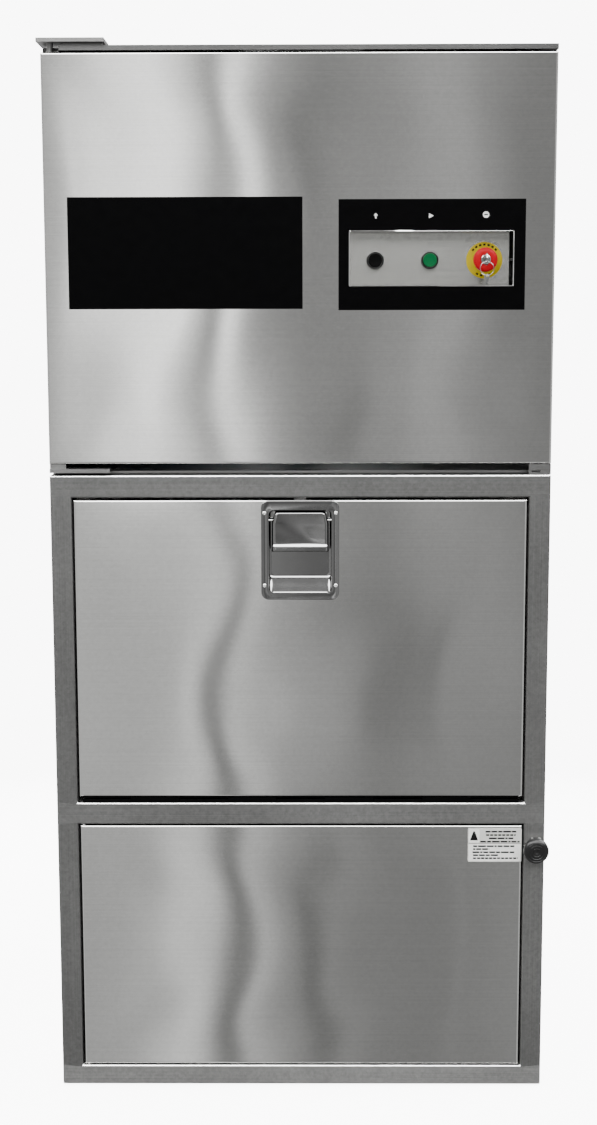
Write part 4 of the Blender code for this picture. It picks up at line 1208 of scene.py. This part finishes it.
class World(Nodes):
    """The room's brightness, built from the direction looked in: degrees to the right and up."""

    def __init__(self):
        self.world = bpy.data.worlds.new("studio")
        self.world.use_nodes = True
        super().__init__(self.world.node_tree)
        self.tree.nodes.clear()
        x, y, z = self.node("SeparateXYZ", {0: self.node("TexCoord").outputs["Generated"]}).outputs
        degrees = 180 / math.pi
        self.right = self.math("MULTIPLY", self.math("ARCTAN2", x, self.math("MULTIPLY", y, -1)), degrees)
        self.up = self.math("MULTIPLY", self.math("ARCSINE", z), degrees)

    def step(self, source, low, high):
        return self.span(source, low, high, kind="SMOOTHSTEP")

    def mix(self, factor, one, two):
        return self.node("Mix", {0: factor, 2: one, 3: two}, data_type="FLOAT").outputs[0]

    def ramp(self, stops):
        """Brightness by direction to the right."""
        low = stops[0][0]
        high = stops[-1][0]
        made = self.node("ValToRGB", {"Fac": self.span(self.right, low, high)})
        made.color_ramp.interpolation = "EASE"
        elements = made.color_ramp.elements
        for n, (place, value) in enumerate(stops):
            at = (place - low) / (high - low)
            element = elements[n] if n < 2 else elements.new(at)
            element.position = at
            element.color = (value, value, value, 1)
        return made.outputs["Color"]

    def patch(self, base, where, half, soft, value, strength):
        """Mix a soft-edged rectangle of one brightness over the room: (right, up) in degrees."""
        cover = strength
        for source, centre, reach in zip((self.right, self.up), where, half):
            off = self.math("ABSOLUTE", self.math("SUBTRACT", source, centre))
            cover = self.math("MULTIPLY", cover, self.step(off, reach + soft, reach - soft))
        return self.mix(cover, base, value)


def build_world():
    """A bright studio whose soft upright bands of light and shade show in the front panels."""
    room = World()
    bpy.context.scene.world = room.world
    high, middle, low = [room.ramp([(row[0], row[n]) for row in ROOM]) for n in (1, 2, 3)]
    front = room.mix(room.step(room.up, *LOWER_DOOR), low, middle)
    front = room.mix(room.step(room.up, *UPPER_DOOR), front, high)
    for right, up, half_right, half_up, soft, value, strength in SHAPES:
        front = room.patch(front, (right, up), (half_right, half_up), soft, value, strength)
    bands = room.math("SINE", room.math("MULTIPLY", room.right, 2 * math.pi / BAND_WIDTH))
    bands = room.math("MULTIPLY_ADD", bands, BAND_STRENGTH, 1)
    around = room.math("MULTIPLY", room.ramp(SURROUND), bands)
    lit = room.mix(room.step(room.math("ABSOLUTE", room.right), *ROOM_SIDES), front, around)
    for begin, full, value in SKY:
        lit = room.mix(room.step(room.up, begin, full), lit, value)
    path = room.node("LightPath").outputs
    shown = room.mix(path["Is Diffuse Ray"], lit, AMBIENT)
    shown = room.mix(path["Is Camera Ray"], shown, BACKDROP)
    background = room.node("Background", {"Color": shown})
    room.node("OutputWorld", {"Surface": background.outputs[0]})


KEY_PLACE = (-1.4, -2.2, 3.4)
KEY_AIM = (0, 0, 1)
KEY_SIZE = (2.4, 1.6)
KEY_ENERGY = 45


def build_lights():
    """A soft key light from the left, above the camera."""
    data = bpy.data.lights.new("key", "AREA")
    data.shape = "RECTANGLE"
    data.size, data.size_y = KEY_SIZE
    data.energy = KEY_ENERGY
    light = bpy.data.objects.new("key", data)
    bpy.context.collection.objects.link(light)
    x, y, z = KEY_PLACE
    light.location = (x, FRONT + y, z)
    aim = Vector(KEY_AIM) - light.location
    light.rotation_euler = aim.to_track_quat("-Z", "Y").to_euler()


build_camera()
build_world()
build_lights()
build_floor()
build_front_frame()
build_doors()
build_latch()
build_controls()
build_label()
build_knob()
build_cabinet()
build_insides()
